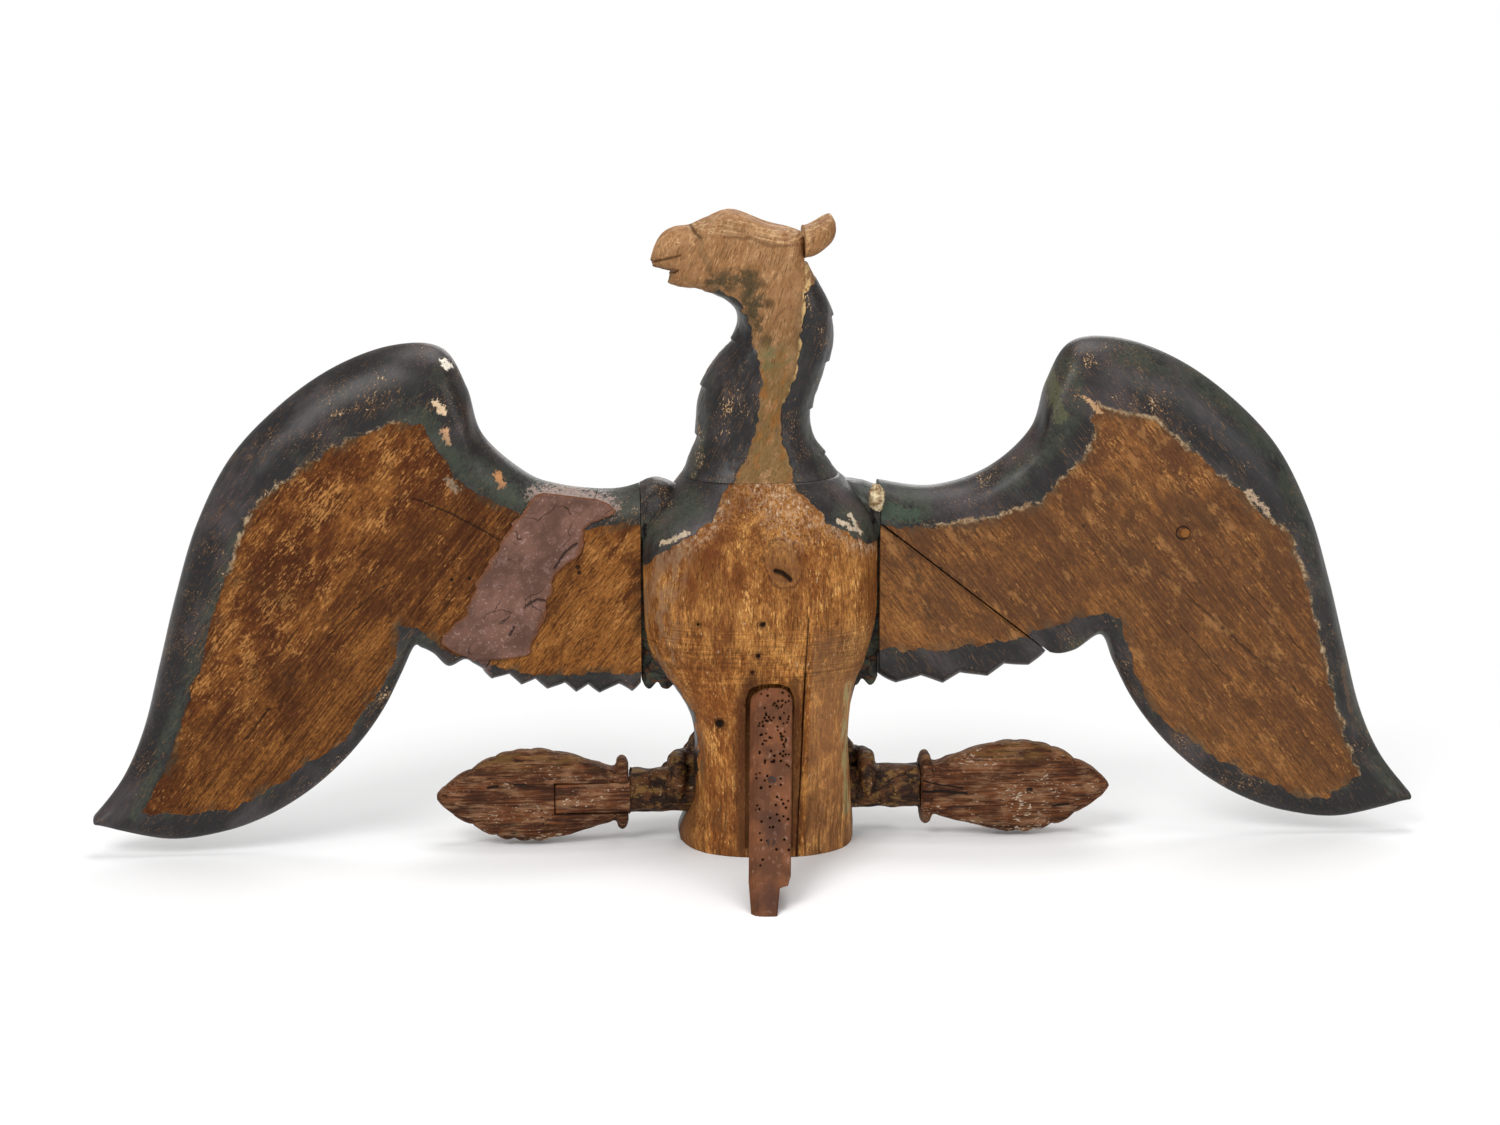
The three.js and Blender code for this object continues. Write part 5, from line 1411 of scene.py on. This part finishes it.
# Scuffed bands on the body's shoulders: a line, where the band ends, where it is full, and its strength
BODY_SCUFFS = [
    ([(4, 350), (30, 322)], 40, 4, 1), ([(44, 326), (84, 296), (98, 288)], 16, 2, 0.8),
    ([(-34, 326), (-52, 304), (-84, 286)], 14, 2, 0.7),
]
KNOT_LINE, KNOT_HEART = [(17, 284), (20, 272)], (20, 269)
KNOT_SPLIT = [(12, 272), (18, 270), (25, 264)]
RED_STAIN, GREY_FILM = [(-70, 290), (-56, 240)], [(-84, 286), (-100, 230), (-92, 190)]
OLIVE_STRIP = [(81, 158), (79, 110), (80, 80), (82, 34)]
BOARD_JOINT = [(31.5, -6), (35, 60), (39.4, 178), (42, 228)]
SLOT_LEFT, SLOT_RIGHT = [(-16, 8), (-16, 150), (-10, 168)], [(30, 10), (30, 168)]
BASE_CORNER = [(-76, -4), (-70, 40)]


def knot_marks(r, colour):
    """The dark knot under the neck: its broken rings and its heart."""
    knot = r.line_distance(KNOT_LINE, 7)
    ring = r.ring(knot, 16, 2.2, 0.4) + 0.5 * r.ring(knot, 9, 1.6, 0.3)
    colour = r.mix(r.step(17, 12, knot) * 0.4, colour, "knot")
    colour = r.mix(ring * r.patches(0.4, 0.5, 9, 5, 3, 66) * 0.7, colour, "knot_ring")
    return r.mix(r.spot(*KNOT_HEART, 9, 0.6, 8) * 0.5, colour, "knot_heart")


def body_marks(r, colour, height):
    """Marks on the back of the body: the knot, stains, scuffs, holes and the olive strip."""
    colour = knot_marks(r, colour)
    split = r.crack(KNOT_SPLIT, 2.6, 3)
    colour = r.mix(split * 0.95, colour, "split")
    scuffed = r.largest(*(
        strength * r.band(line, outer, inner) for line, outer, inner, strength in BODY_SCUFFS))
    dusty = r.noise(7, 3.2, 5, 61, 0.72)
    colour = r.mix(r.step(0.44, 0.64, dusty) * scuffed * 0.75, colour, "scuff")
    colour = r.mix(r.step(0.64, 0.7, dusty + 0.05 * scuffed) * 0.7, colour, "scuff_fleck")
    red = r.patches(0.48, 0.6, 26, 12, 5, 65, 0.65) * r.band(RED_STAIN, 60, 20)
    colour = r.mix(red * 0.5, colour, "red_stain")
    grey = r.patches(0.46, 0.6, 26, 12, 5, 62, 0.68) * r.band(GREY_FILM, 30, 8)
    colour = r.mix(grey * 0.6, colour, "grey_film")
    for x, z, _, radius in BODY_HOLES:
        colour = r.mix(r.spot(x, z, radius * 2, 0.7, 8) * 0.5, colour, "hole_rim")
        colour = r.mix(r.spot(x, z, radius, 0.3, 3) * 0.95, colour, "hole")
    olive = r.band(OLIVE_STRIP, 5.5, 2.5, 5) * r.patches(0.42, 0.54, 24, 8, 4, 63)
    colour = r.mix(olive * 0.85, colour, "olive_strip")
    joint = r.crack(BOARD_JOINT, 1, 1.2)
    colour = r.mix(joint * 0.85, colour, "board_joint")
    shadow = r.largest(r.band(SLOT_LEFT, 15, 2) * 0.8, r.band(SLOT_RIGHT, 9, 2) * 0.7)
    colour = r.mix(shadow, colour, "slot_shade")
    saw = (r.noise(1.4, 36, 3, 64) - 0.5) * r.step(150, 172, r.z) * r.step(240, 205, r.z)
    board = r.step(39, 41, r.x - 0.03 * r.z) * r.step(226, 200, r.z)
    colour = r.mix(board * 0.25, colour, "side_board")
    foot = r.step(120, 10, r.z) * r.patches(0.46, 0.6, 60, 4, 4, 67, 0.65) * 0.75
    corner = r.band(BASE_CORNER, 30, 4, 12) * 0.7
    colour = r.mix(r.largest(foot, corner), colour, "base_stain")
    # Painted light: the body's wood is made up to 1.4 times brighter towards its bottom and a little darker
    # near its top, on top of the tool marks of saw.
    light = 1 + 0.4 * r.step(190, 140, r.z) - 0.15 * r.step(270, 310, r.z)
    return r.shade(colour, light + 1.6 * saw), height + 0.9 * saw - 0.8 * joint - 1.5 * split


CHEEK_SMEAR = [(-40, 528), (-26, 528), (-9, 530), (-8, 518), (-2, 500), (0, 480)]
BROW_GRIME = [(-30, 568), (-4, 566), (14, 559), (36, 560)]
BEAK_LINES = [
    (MOUTH_LINE, 1.5), ([(-60, 582), (-59, 575), (-56, 570), (-52, 567)], 2),
    ([(-97, 541), (-86, 537), (-72, 538)], 1.6),
]
CHEEK_LINE = [(-54, 568), (-50, 552), (-44, 540)]
HEAD_KNOTS = [(9.6, 507, 4.6), (6.3, 474, 5), (4, 526, 5)]
NECK_GREEN = (15, 456)
NECK_STRIP = [(46, 540), (44, 511), (42, 490), (38, 455), (30, 425), (24, 418)]


def head_marks(r, colour, height):
    """Marks on the bare head: the smear under the cheek, the pale upper edge, knots and green patches."""
    cheek = r.band(CHEEK_SMEAR, 15, 3, 16) * r.patches(0.4, 0.56, 12, 12, 5, 71, 0.65)
    colour = r.mix(cheek * 0.8, colour, "cheek")
    edge = r.line_distance(HEAD_EDGE, 4)
    strands = r.patches(0.4, 0.62, 30, 1.8, 4, 75, 0.6, grain=-0.25)
    pale = r.step(11, 4, edge) * r.patches(0.44, 0.6, 16, 6, 5, 72, 0.68) * (0.4 + 0.6 * strands)
    colour = r.mix(pale * 0.6, colour, "upper_edge")
    colour = r.mix(r.step(12, 6, edge) * (1 - strands) * 0.45, colour, "strands")
    colour = r.mix(r.band(BROW_GRIME, 2.4, 0.6, 6) * 0.5, colour, "brow")
    for points, width in BEAK_LINES:
        colour = r.mix(r.crack(points, width, 2) * 0.7, colour, "beak_line")
    colour = r.mix(r.crack(CHEEK_LINE, 5, 8) * 0.4, colour, "cheek_line")
    for x, z, radius in HEAD_KNOTS:
        colour = r.mix(r.spot(x, z, radius, 0.7, 4) * 0.7, colour, "head_knot")
    green = r.spot(*NECK_GREEN, 14, 0.7, 14) * r.patches(0.42, 0.56, 10, 10, 4, 73)
    colour = r.mix(green * 0.7, colour, "neck_green")
    strip = r.band(NECK_STRIP, 4.5, 1.5, 7) * r.patches(0.44, 0.52, 7, 4, 4, 74)
    colour = r.mix(strip * 0.85, colour, "neck_strip")
    olive = r.step(500, 455, r.z) * r.patches(0.42, 0.56, 34, 16, 5, 76, 0.66)
    colour = r.mix(olive * 0.6, colour, "neck_olive")
    orange = r.step(480, 430, r.z) * r.patches(0.5, 0.6, 24, 9, 5, 77, 0.66)
    colour = r.mix(orange * 0.5, colour, "neck_orange")
    return r.shade(colour, 1 - 0.2 * r.step(520, 470, r.z)), height


PUTTY_CRACKS = [
    [(-186, 268), (-176, 283), (-166, 290)], [(-214, 232), (-203, 240), (-196, 238)],
    [(-228, 206), (-224, 214)],
]


def putty_material(tone, wood):
    """Hard old filler: mauve-brown, dusty, with a few cracks, thinning out over the wood at its edges."""
    r = Recipe("putty", math.radians(55))
    patch = r.noise(30, 22, 5, 81, 0.62)
    colour = r.mix(r.step(0.35, 0.65, patch), r.shade(tone, 0.7), r.shade(tone, 1.3))
    colour = r.mix(r.patches(0.54, 0.7, 8, 6, 5, 82, 0.65) * 0.4, colour, "putty_dust")
    crazed = r.cracks(26, 0.35, 83, 1.6) * r.patches(0.5, 0.6, 26, 26, 2, 84)
    for points in PUTTY_CRACKS:
        crazed = r.largest(crazed, r.crack(points, 1.6, 5))
    colour = r.mix(crazed * 0.85, colour, "putty_crack")
    thin = r.step(5.5, 0.5, r.attribute("inner") + 5 * (r.noise(9, 6, 4, 87, 0.65) - 0.5))
    colour = r.mix(thin * 0.75, colour, wood)
    speck = r.step(0.62, 0.7, r.noise(2.2, 2.2, 3, 85) + 0.2 * (patch - 0.5))
    colour = r.mix(speck * 0.45, colour, "putty_speck")
    height = patch - 0.9 * crazed + 0.45 * r.noise(4, 3.5, 5, 86, 0.65)
    return r.surface(colour, 0.72 - 0.1 * patch, height)


def gesso_material(tone):
    """Broken lump of gesso: cream, chalky, dirty in its hollows."""
    r = Recipe("gesso")
    rough = r.noise(7, 7, 5, 91, 0.65)
    colour = r.mix(r.step(0.4, 0.62, rough), TONES["gesso_hollow"], tone)
    colour = r.mix(r.patches(0.6, 0.7, 3, 3, 4, 92) * 0.6, colour, "gesso_dirt")
    return r.surface(colour, 0.78 + 0.1 * rough, 1.4 * rough)


# Splits and holes in the leaf ends as a line and a width
LEAF_HOLES = [
    ([(-250, 58), (-242, 59)], 1.8), ([(-226, 60), (-216, 60)], 1.2), ([(254, 46), (257, 46)], 2.6),
    ([(278, 30), (292, 31)], 1.6), ([(155, 47), (196, 44)], 1.6), ([(155, 57), (172, 52), (192, 49)], 0.9),
    ([(-201, 35), (-201, 34.9)], 1.2), ([(-201, 28), (-201, 27.9)], 1.2), ([(-200, 22), (-200, 21.9)], 1.2),
]


def leaf_wood(r, dark, mid, dust, ochre):
    """Dark weathered wood, dusty on its raised grain, with remains of ochre along the upper edge.
    Returns its colour and its height."""
    lines = r.noise(50, 2, 4, 101, 0.62, bend=0.3)
    patch = r.noise(44, 20, 4, 102)
    colour = r.mix(r.step(0.4, 0.62, lines * 0.5 + patch * 0.5), dark, mid)
    colour = r.shade(colour, 0.55 + 0.9 * lines)
    haze = r.step(0.46, 0.66, r.noise(26, 8, 5, 103, 0.68) + 0.35 * (lines - 0.5) + 0.2 * (patch - 0.5))
    colour = r.mix(haze * 0.5, colour, dust)
    flaking = r.noise(5, 2, 4, 104, 0.7) + 0.4 * (patch - 0.5) + 0.1 * r.step(20, 4, r.z)
    flakes = r.step(0.63, 0.68, flaking)
    colour = r.mix(flakes * 0.8, colour, "leaf_flake")
    top = r.step(68, 84, r.z) * r.patches(0.42, 0.6, 16, 5, 4, 105)
    colour = r.mix(top * 0.5, colour, ochre)
    split = r.step(0.63, 0.7, r.noise(40, 1.4, 2, 106) + 0.2 * (patch - 0.5))
    colour = r.mix(split * 0.75, colour, "leaf_split")
    for points, width in LEAF_HOLES:
        hole = r.crack(points, width, 2)
        colour = r.mix(hole * 0.95, colour, "leaf_hole")
        lines = lines - 2 * hole
    return colour, 0.6 * lines - 0.9 * split + 0.3 * patch + 0.15 * flakes


def leaf_material(*tones):
    """The leaf ends' wood."""
    r = Recipe("leaf_wood", 0)
    colour, height = leaf_wood(r, *tones)
    return r.surface(colour, 0.68 + 0.1 * r.noise(12, 6, 3, 107), height)


def bark_material(dark, mid, ochre, cream, leaf=None):
    """Bar and feet: dark, greasy, carved wood with ochre and cream left on it. leaf holds the colours
    of the leaf ends, which the bar's tenons share."""
    r = Recipe("bar_wood", 0)
    patch = r.noise(20, 12, 5, 111, 0.6)
    colour = r.mix(r.step(0.4, 0.6, patch), dark, mid)
    colour = r.mix(r.patches(0.5, 0.62, 13, 8, 5, 112, 0.65) * 0.75, colour, ochre)
    chips = r.step(0.64, 0.68, r.noise(4.5, 3, 4, 113, 0.7) + 0.2 * (patch - 0.5))
    colour = r.mix(chips * 0.8, colour, cream)
    crazed = r.cracks(15, 0.6, 114, 1.4)
    colour = r.mix(crazed * 0.75, colour, "bark_crack")
    height = 0.9 * patch - 0.7 * crazed + 0.25 * r.noise(3, 2, 3, 115)
    if leaf:
        tenon = r.largest(r.step(BAR_LEFT + 1, BAR_LEFT - 1, r.x), r.step(BAR_RIGHT - 1, BAR_RIGHT + 1, r.x))
        plain, plain_height = leaf_wood(r, *leaf)
        colour = r.mix(tenon, colour, r.shade(plain, 1.15))
        height = height * (1 - tenon) + plain_height * tenon
    return r.surface(colour, 0.6 + 0.2 * chips, height)


def strut_material(tone):
    """Reddish batten, rubbed and dusty, black inside its wormholes."""
    r = Recipe("strut_wood", math.pi / 2)
    hole = r.attribute("hole")
    lines = r.noise(90, 2.4, 4, 121, 0.6)
    patch = r.noise(40, 18, 4, 122)
    colour = r.mix(r.step(0.36, 0.66, patch), r.shade(tone, 0.7), r.shade(tone, 1.3))
    colour = r.shade(colour, 0.8 + 0.42 * lines)
    colour = r.mix(r.patches(0.58, 0.7, 9, 5, 4, 123) * 0.35, colour, "strut_dust")
    stain = r.largest(r.spot(1, 64, 9, 0.7, 9), r.spot(-4, 12, 11, 0.7, 9))
    colour = r.mix(stain * 0.65, colour, "strut_stain")
    colour = r.mix(r.step(0.25, 0.7, hole), colour, "wormhole")
    height = 0.4 * lines + 0.3 * patch
    return r.surface(colour, 0.66 + 0.2 * (patch - 0.5), height)


def plain_wood(name, tone, grain=0):
    """Turned or split softwood for the dowels and the plug."""
    r = Recipe(name, grain)
    lines = r.noise(60, 1.2, 3, 131, 0.6)
    colour = r.mix(r.step(0.35, 0.65, lines), r.shade(tone, 0.6), tone)
    colour = r.mix(r.patches(0.6, 0.7, 9, 0.8, 2, 132) * 0.5, colour, r.shade(tone, 0.35))
    return r.surface(colour, 0.62 + 0.2 * lines, 0.3 * lines)


def iron_material(tone):
    """Hand-made nails: dark iron with rust in patches."""
    r = Recipe("iron")
    rust = r.patches(0.44, 0.6, 2.4, 2.4, 4, 141, 0.65)
    colour = r.mix(rust, tone, "rust")
    return r.surface(colour, 0.5 + 0.35 * rust, 0.25 * rust)


# Settings that a user would change


def tone(name, description, red, green, blue):
    """Colour property whose default is a display colour."""
    return bpy.props.FloatVectorProperty(
        name=name, description=description, subtype="COLOR", size=4, min=0, max=1,
        default=srgb(red, green, blue))


class EagleSizes(bpy.types.PropertyGroup):
    """Sizes of the carving."""

    relief: bpy.props.FloatProperty(
        name="Feather relief", description="Depth of the feathers cut in the front", default=0.0024, min=0,
        max=0.004, unit="LENGTH")
    wormholes: bpy.props.IntProperty(
        name="Wormholes", description="Wormholes in the face of the strut", default=120, min=0, max=300)


class EagleColours(bpy.types.PropertyGroup):
    """Colours of wood, paint and filler."""

    wing_dark: tone("Wing wood, dark", "Stains on the backs of the wings", 76, 38, 14)
    wing_mid: tone("Wing wood", "Bare wood on the wings", 104, 58, 24)
    wing_light: tone("Wing wood, light", "Rubbed wood on the wings", 142, 90, 40)
    wing_fleck: tone("Wing flecks", "Pale flecks on the wings", 176, 122, 66)
    body_dark: tone("Body wood, dark", "Stains on the back of the body", 116, 66, 28)
    body_mid: tone("Body wood", "Bare wood on the body", 164, 108, 54)
    body_light: tone("Body wood, light", "Rubbed wood on the body", 192, 134, 70)
    body_fleck: tone("Body flecks", "Pale flecks on the body", 214, 158, 90)
    head_dark: tone("Head wood, dark", "Stains on the head and neck", 154, 110, 70)
    head_mid: tone("Head wood", "Bare wood on the head and neck", 194, 148, 102)
    head_light: tone("Head wood, light", "Rubbed wood on the head", 212, 168, 124)
    head_fleck: tone("Head flecks", "Pale flecks on the head", 224, 188, 146)
    black: tone("Paint", "Old paint on the rolled edges and the front", 33, 31, 31)
    # The paler paint colour is partly rubbed paint and partly a painted highlight standing in for the gloss.
    rubbed_paint_and_sheen: tone("Paint, rubbed", "Rubbed patches of the paint", 62, 56, 57)
    green: tone("Green paint", "Green film along the bare wood", 60, 66, 54)
    cream: tone("Ground", "Cream ground under the paint", 206, 180, 142)
    ochre: tone("Ground, stained", "Stained ground and wood in chips", 138, 98, 60)
    putty: tone("Filler", "Hard filler over the left joint", 104, 74, 62)
    gesso: tone("Gesso", "Lump of gesso at the right shoulder", 214, 196, 160)
    strut: tone("Strut wood", "Reddish wood of the strut", 100, 60, 36)
    leaf_dark: tone("Leaf wood, dark", "Hollows of the leaf ends", 54, 28, 13)
    leaf_mid: tone("Leaf wood", "Bare wood of the leaf ends", 104, 60, 32)
    leaf_dust: tone("Leaf dust", "Dust on the leaf ends", 150, 114, 84)
    bar_dark: tone("Bar wood, dark", "Hollows of the bar and the feet", 40, 23, 13)
    bar_mid: tone("Bar wood", "Wood of the bar and the feet", 86, 52, 27)
    bar_ochre: tone("Bar ochre", "Ochre paint left on the bar and the feet", 122, 90, 46)
    dowel: tone("Dowel wood", "Dowels and the plug", 190, 150, 100)
    iron: tone("Iron", "Nails", 46, 42, 40)


def sizes():
    return bpy.context.scene.eagle_sizes


def colours(*names):
    """Tuples of the named colours."""
    group = bpy.context.scene.eagle_colours
    return [tuple(getattr(group, name)) for name in names]


def paint_colours():
    return colours("black", "rubbed_paint_and_sheen", "green", "cream", "ochre")


# Operators


class EAGLE_OT_wings(bpy.types.Operator):
    """Builds the outer and root boards of both wings"""

    bl_idname = "eagle.wings"
    bl_label = "Wings"

    def execute(self, context):
        wood, paint = colours("wing_dark", "wing_mid", "wing_light", "wing_fleck"), paint_colours()
        relief = sizes().relief / MM
        for name, degrees in (("left", 52), ("right", 128)):
            grain, marks = math.radians(degrees), wing_marks(name)
            material = worn_carving(f"{name}_wing_wood", grain, wood, paint, marks, SMEARS_AND_GAP_SHADE[name])
            for make, part in ((make_blade, "blade"), (make_root, "root")):
                finish_piece(make(name, relief), material, "wing_wood", f"{name}_wing_{part}")
        return {"FINISHED"}


class EAGLE_OT_body(bpy.types.Operator):
    """Builds the body block and the board on its right side"""

    bl_idname = "eagle.body"
    bl_label = "Body"

    def execute(self, context):
        wood = colours("body_dark", "body_mid", "body_light", "body_fleck")
        material = worn_carving(
            "body_wood", math.pi / 2, wood, paint_colours(), body_marks, SMEARS_AND_GAP_SHADE["body"], -0.03, 0.9)
        body, board = make_body(sizes().relief / MM)
        finish_piece(body, material, "body_wood", "body_core")
        finish_piece(board, material, "body_wood", "body_side_board")
        return {"FINISHED"}


class EAGLE_OT_head(bpy.types.Operator):
    """Builds the head and neck, and the crest behind them"""

    bl_idname = "eagle.head"
    bl_label = "Head and crest"

    def execute(self, context):
        wood = colours("head_dark", "head_mid", "head_light", "head_fleck")
        material = worn_carving(
            "head_wood", math.radians(70), wood, paint_colours(), head_marks, (), -0.12, 0.6)
        finish_piece(make_head(sizes().relief / MM), material, "head_wood", "head_and_neck")
        finish_piece(make_crest(), material, "head_wood", "crest")
        return {"FINISHED"}


class EAGLE_OT_fillers(bpy.types.Operator):
    """Builds the filler over the left joint and the lump of gesso at the right shoulder"""

    bl_idname = "eagle.fillers"
    bl_label = "Fillers"

    def execute(self, context):
        finish_piece(make_putty(), putty_material(*colours("putty", "wing_mid")), "putty", "left_wing_putty")
        low, high = (np.array(corner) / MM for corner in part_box("right_joint_filler"))
        lump = make_lump("right_joint_filler", (low + high) / 2, high - low, 9)
        finish_piece(lump, gesso_material(colours("gesso")[0]), "gesso", "right_joint_filler")
        return {"FINISHED"}


class EAGLE_OT_crossbar(bpy.types.Operator):
    """Builds the bar through the block and the feet that grip it"""

    bl_idname = "eagle.crossbar"
    bl_label = "Crossbar and feet"

    def execute(self, context):
        leaf = colours("leaf_dark", "leaf_mid", "leaf_dust", "bar_ochre")
        material = bark_material(*colours("bar_dark", "bar_mid", "bar_ochre", "cream"), leaf)
        finish_piece(make_crossbar(), material, "bar_wood", "crossbar")
        for name in ("left", "right"):
            finish_piece(make_foot(name), material, "bar_wood", f"{name}_foot")
        return {"FINISHED"}


class EAGLE_OT_leaf_ends(bpy.types.Operator):
    """Builds the leaf-shaped ends of the bar"""

    bl_idname = "eagle.leaf_ends"
    bl_label = "Leaf ends"

    def execute(self, context):
        material = leaf_material(*colours("leaf_dark", "leaf_mid", "leaf_dust", "bar_ochre"))
        for name in ("left", "right"):
            finish_piece(make_leaf_end(name), material, "leaf_wood", f"{name}_leaf_end")
        return {"FINISHED"}


class EAGLE_OT_strut(bpy.types.Operator):
    """Builds the leaning strut"""

    bl_idname = "eagle.strut"
    bl_label = "Strut"

    def execute(self, context):
        material = strut_material(colours("strut")[0])
        finish_piece(make_strut(sizes().wormholes), material, "strut_wood", "back_strut")
        return {"FINISHED"}


class EAGLE_OT_tongues(bpy.types.Operator):
    """Builds the loose tongues between the wings and the body"""

    bl_idname = "eagle.tongues"
    bl_label = "Wing tongues"

    def execute(self, context):
        material = bark_material(*colours("black", "green", "bar_mid", "bar_ochre"))
        for name in ("left", "right"):
            finish_piece(make_tongue(name), material, "painted_wood", f"{name}_wing_tongue")
        return {"FINISHED"}


HARDWARE_COUNT = 17


class EAGLE_OT_hardware(bpy.types.Operator):
    """Gives the dowels, the pegs, the plug and the nails of the frame their materials"""

    bl_idname = "eagle.hardware"
    bl_label = "Dowels and nails"

    def execute(self, context):
        wood = plain_wood("dowel_wood", colours("dowel")[0])
        plug = plain_wood("plug_wood", colours("wing_light")[0], 0.6)
        iron = iron_material(colours("iron")[0])
        found = 0
        kinds = ("nail", "dowel", "plug", "peg")
        for name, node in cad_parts.items():
            material = iron if "nail" in name else plug if "plug" in name else wood
            if any(kind in name for kind in kinds):
                node.data.materials.clear()
                node.data.materials.append(material)
                found += 1
        if found != HARDWARE_COUNT:
            raise RuntimeError(f"expected {HARDWARE_COUNT} dowels, pegs and nails, found {found}")
        return {"FINISHED"}


class EAGLE_OT_stage(bpy.types.Operator):
    """Places the camera, the pale floor and the soft lights"""

    bl_idname = "eagle.stage"
    bl_label = "Stage"

    def execute(self, context):
        scene = context.scene
        data = bpy.data.cameras.new("camera")
        data.lens, data.sensor_width = LENS, SENSOR_WIDTH
        scene.camera = aimed("camera", data, CAMERA_AT, CAMERA_TARGET)
        make_floor()
        make_world(scene)
        for name, at, size, watts in LIGHTS:
            lamp = bpy.data.lights.new(name, "AREA")
            lamp.shape, lamp.size, lamp.energy = "DISK", size, watts
            aimed(name, lamp, at, LIGHT_TARGET)
        scene.view_settings.view_transform = "Standard"
        return {"FINISHED"}


LENS, SENSOR_WIDTH = 85, 36
CAMERA_AT, CAMERA_TARGET = (-0.2289, -3.1591, 0.955), (-0.008, 0, 0.2703)
LIGHT_TARGET = (0, 0, 0.28)
LIGHTS = [
    ("key", (-1.5, -2.2, 2.4), 1.7, 62),
    ("fill", (2.2, -2.4, 1.5), 2.0, 30),
    ("top", (0.2, 0.2, 2.6), 1.8, 34),
    ("rear", (0.6, 2.6, 1.6), 1.8, 26),
]
FLOOR_HALF, FLOOR_WHITE, WORLD_LIGHT = 40, 0.86, 0.42
WHITE = (1, 1, 1, 1)


def aimed(name, data, at, target):
    """A camera or light in the scene, turned to look at a target."""
    thing = bpy.data.objects.new(name, data)
    bpy.context.scene.collection.objects.link(thing)
    thing.location = at
    thing.rotation_euler = (Vector(target) - Vector(at)).to_track_quat("-Z", "Y").to_euler()
    return thing


def make_floor():
    """Pale floor that keeps the object's shadow and turns to plain white away from it in the picture."""
    corners = [(FLOOR_HALF * x, FLOOR_HALF * y, 0) for x, y in ((-1, -1), (1, -1), (1, 1), (-1, 1))]
    mesh = bpy.data.meshes.new("floor")
    mesh.from_pydata(corners, [], [(0, 1, 2, 3)])
    floor = bpy.data.objects.new("floor", mesh)
    bpy.context.scene.collection.objects.link(floor)
    r = Recipe("floor")
    speckle = r.noise(3, 3, 3.0, 151.0)
    tint = FLOOR_WHITE + 0.01 * (speckle - 0.5)
    colour = r.node("ShaderNodeCombineXYZ", {}, {0: tint, 1: tint, 2: tint})
    matt = r.node("ShaderNodeBsdfDiffuse", {}, {"Color": colour})
    white = r.node("ShaderNodeEmission", {}, {"Color": WHITE, "Strength": 1.0})
    rays = (f"Is {kind} Ray" for kind in ("Camera", "Glossy", "Transmission"))
    seen = r.largest(*(r.node("ShaderNodeLightPath", output=ray) for ray in rays))
    away = ((r.x / 1.35) ** 2 + (r.y + 60) ** 2) ** 0.5
    share = r.step(330, 980, away) * seen
    shader = r.node("ShaderNodeMixShader", {}, {0: share, 1: matt, 2: white})
    r.node("ShaderNodeOutputMaterial", {}, {"Surface": shader})
    mesh.materials.append(r.material)


def make_world(scene):
    """World that looks white to the camera and gives an even, softer light to everything else."""
    world = bpy.data.worlds.new("studio")
    scene.world = world
    sky = Tree(world)
    seen = sky.node("ShaderNodeLightPath", output="Is Camera Ray")
    strength = sky.node("ShaderNodeMix", {}, {0: seen, 2: WORLD_LIGHT, 3: 1.0})
    light = sky.node("ShaderNodeBackground", {}, {"Color": WHITE, "Strength": strength})
    sky.node("ShaderNodeOutputWorld", {}, {"Surface": light})


OPERATORS = [
    EAGLE_OT_stage, EAGLE_OT_body, EAGLE_OT_head, EAGLE_OT_wings, EAGLE_OT_fillers, EAGLE_OT_crossbar,
    EAGLE_OT_leaf_ends, EAGLE_OT_strut, EAGLE_OT_tongues, EAGLE_OT_hardware,
]


class EAGLE_PT_panel(bpy.types.Panel):
    """Lists the steps and settings of the eagle"""

    bl_label = "Carved eagle"
    bl_idname = "EAGLE_PT_panel"
    bl_space_type = "VIEW_3D"
    bl_region_type = "UI"
    bl_category = "Eagle"

    def draw(self, context):
        for group in (context.scene.eagle_sizes, context.scene.eagle_colours):
            for name in group.__annotations__:
                self.layout.prop(group, name)
        for operator in OPERATORS:
            self.layout.operator(operator.bl_idname)


CLASSES = [EagleSizes, EagleColours, *OPERATORS, EAGLE_PT_panel]


def register():
    for each in CLASSES:
        bpy.utils.register_class(each)
    bpy.types.Scene.eagle_sizes = bpy.props.PointerProperty(type=EagleSizes)
    bpy.types.Scene.eagle_colours = bpy.props.PointerProperty(type=EagleColours)


def unregister():
    del bpy.types.Scene.eagle_sizes
    del bpy.types.Scene.eagle_colours
    for each in reversed(CLASSES):
        bpy.utils.unregister_class(each)


def main():
    register()
    for operator in OPERATORS:
        group, name = operator.bl_idname.split(".")
        getattr(getattr(bpy.ops, group), name)()


if __name__ == "__main__":
    main()
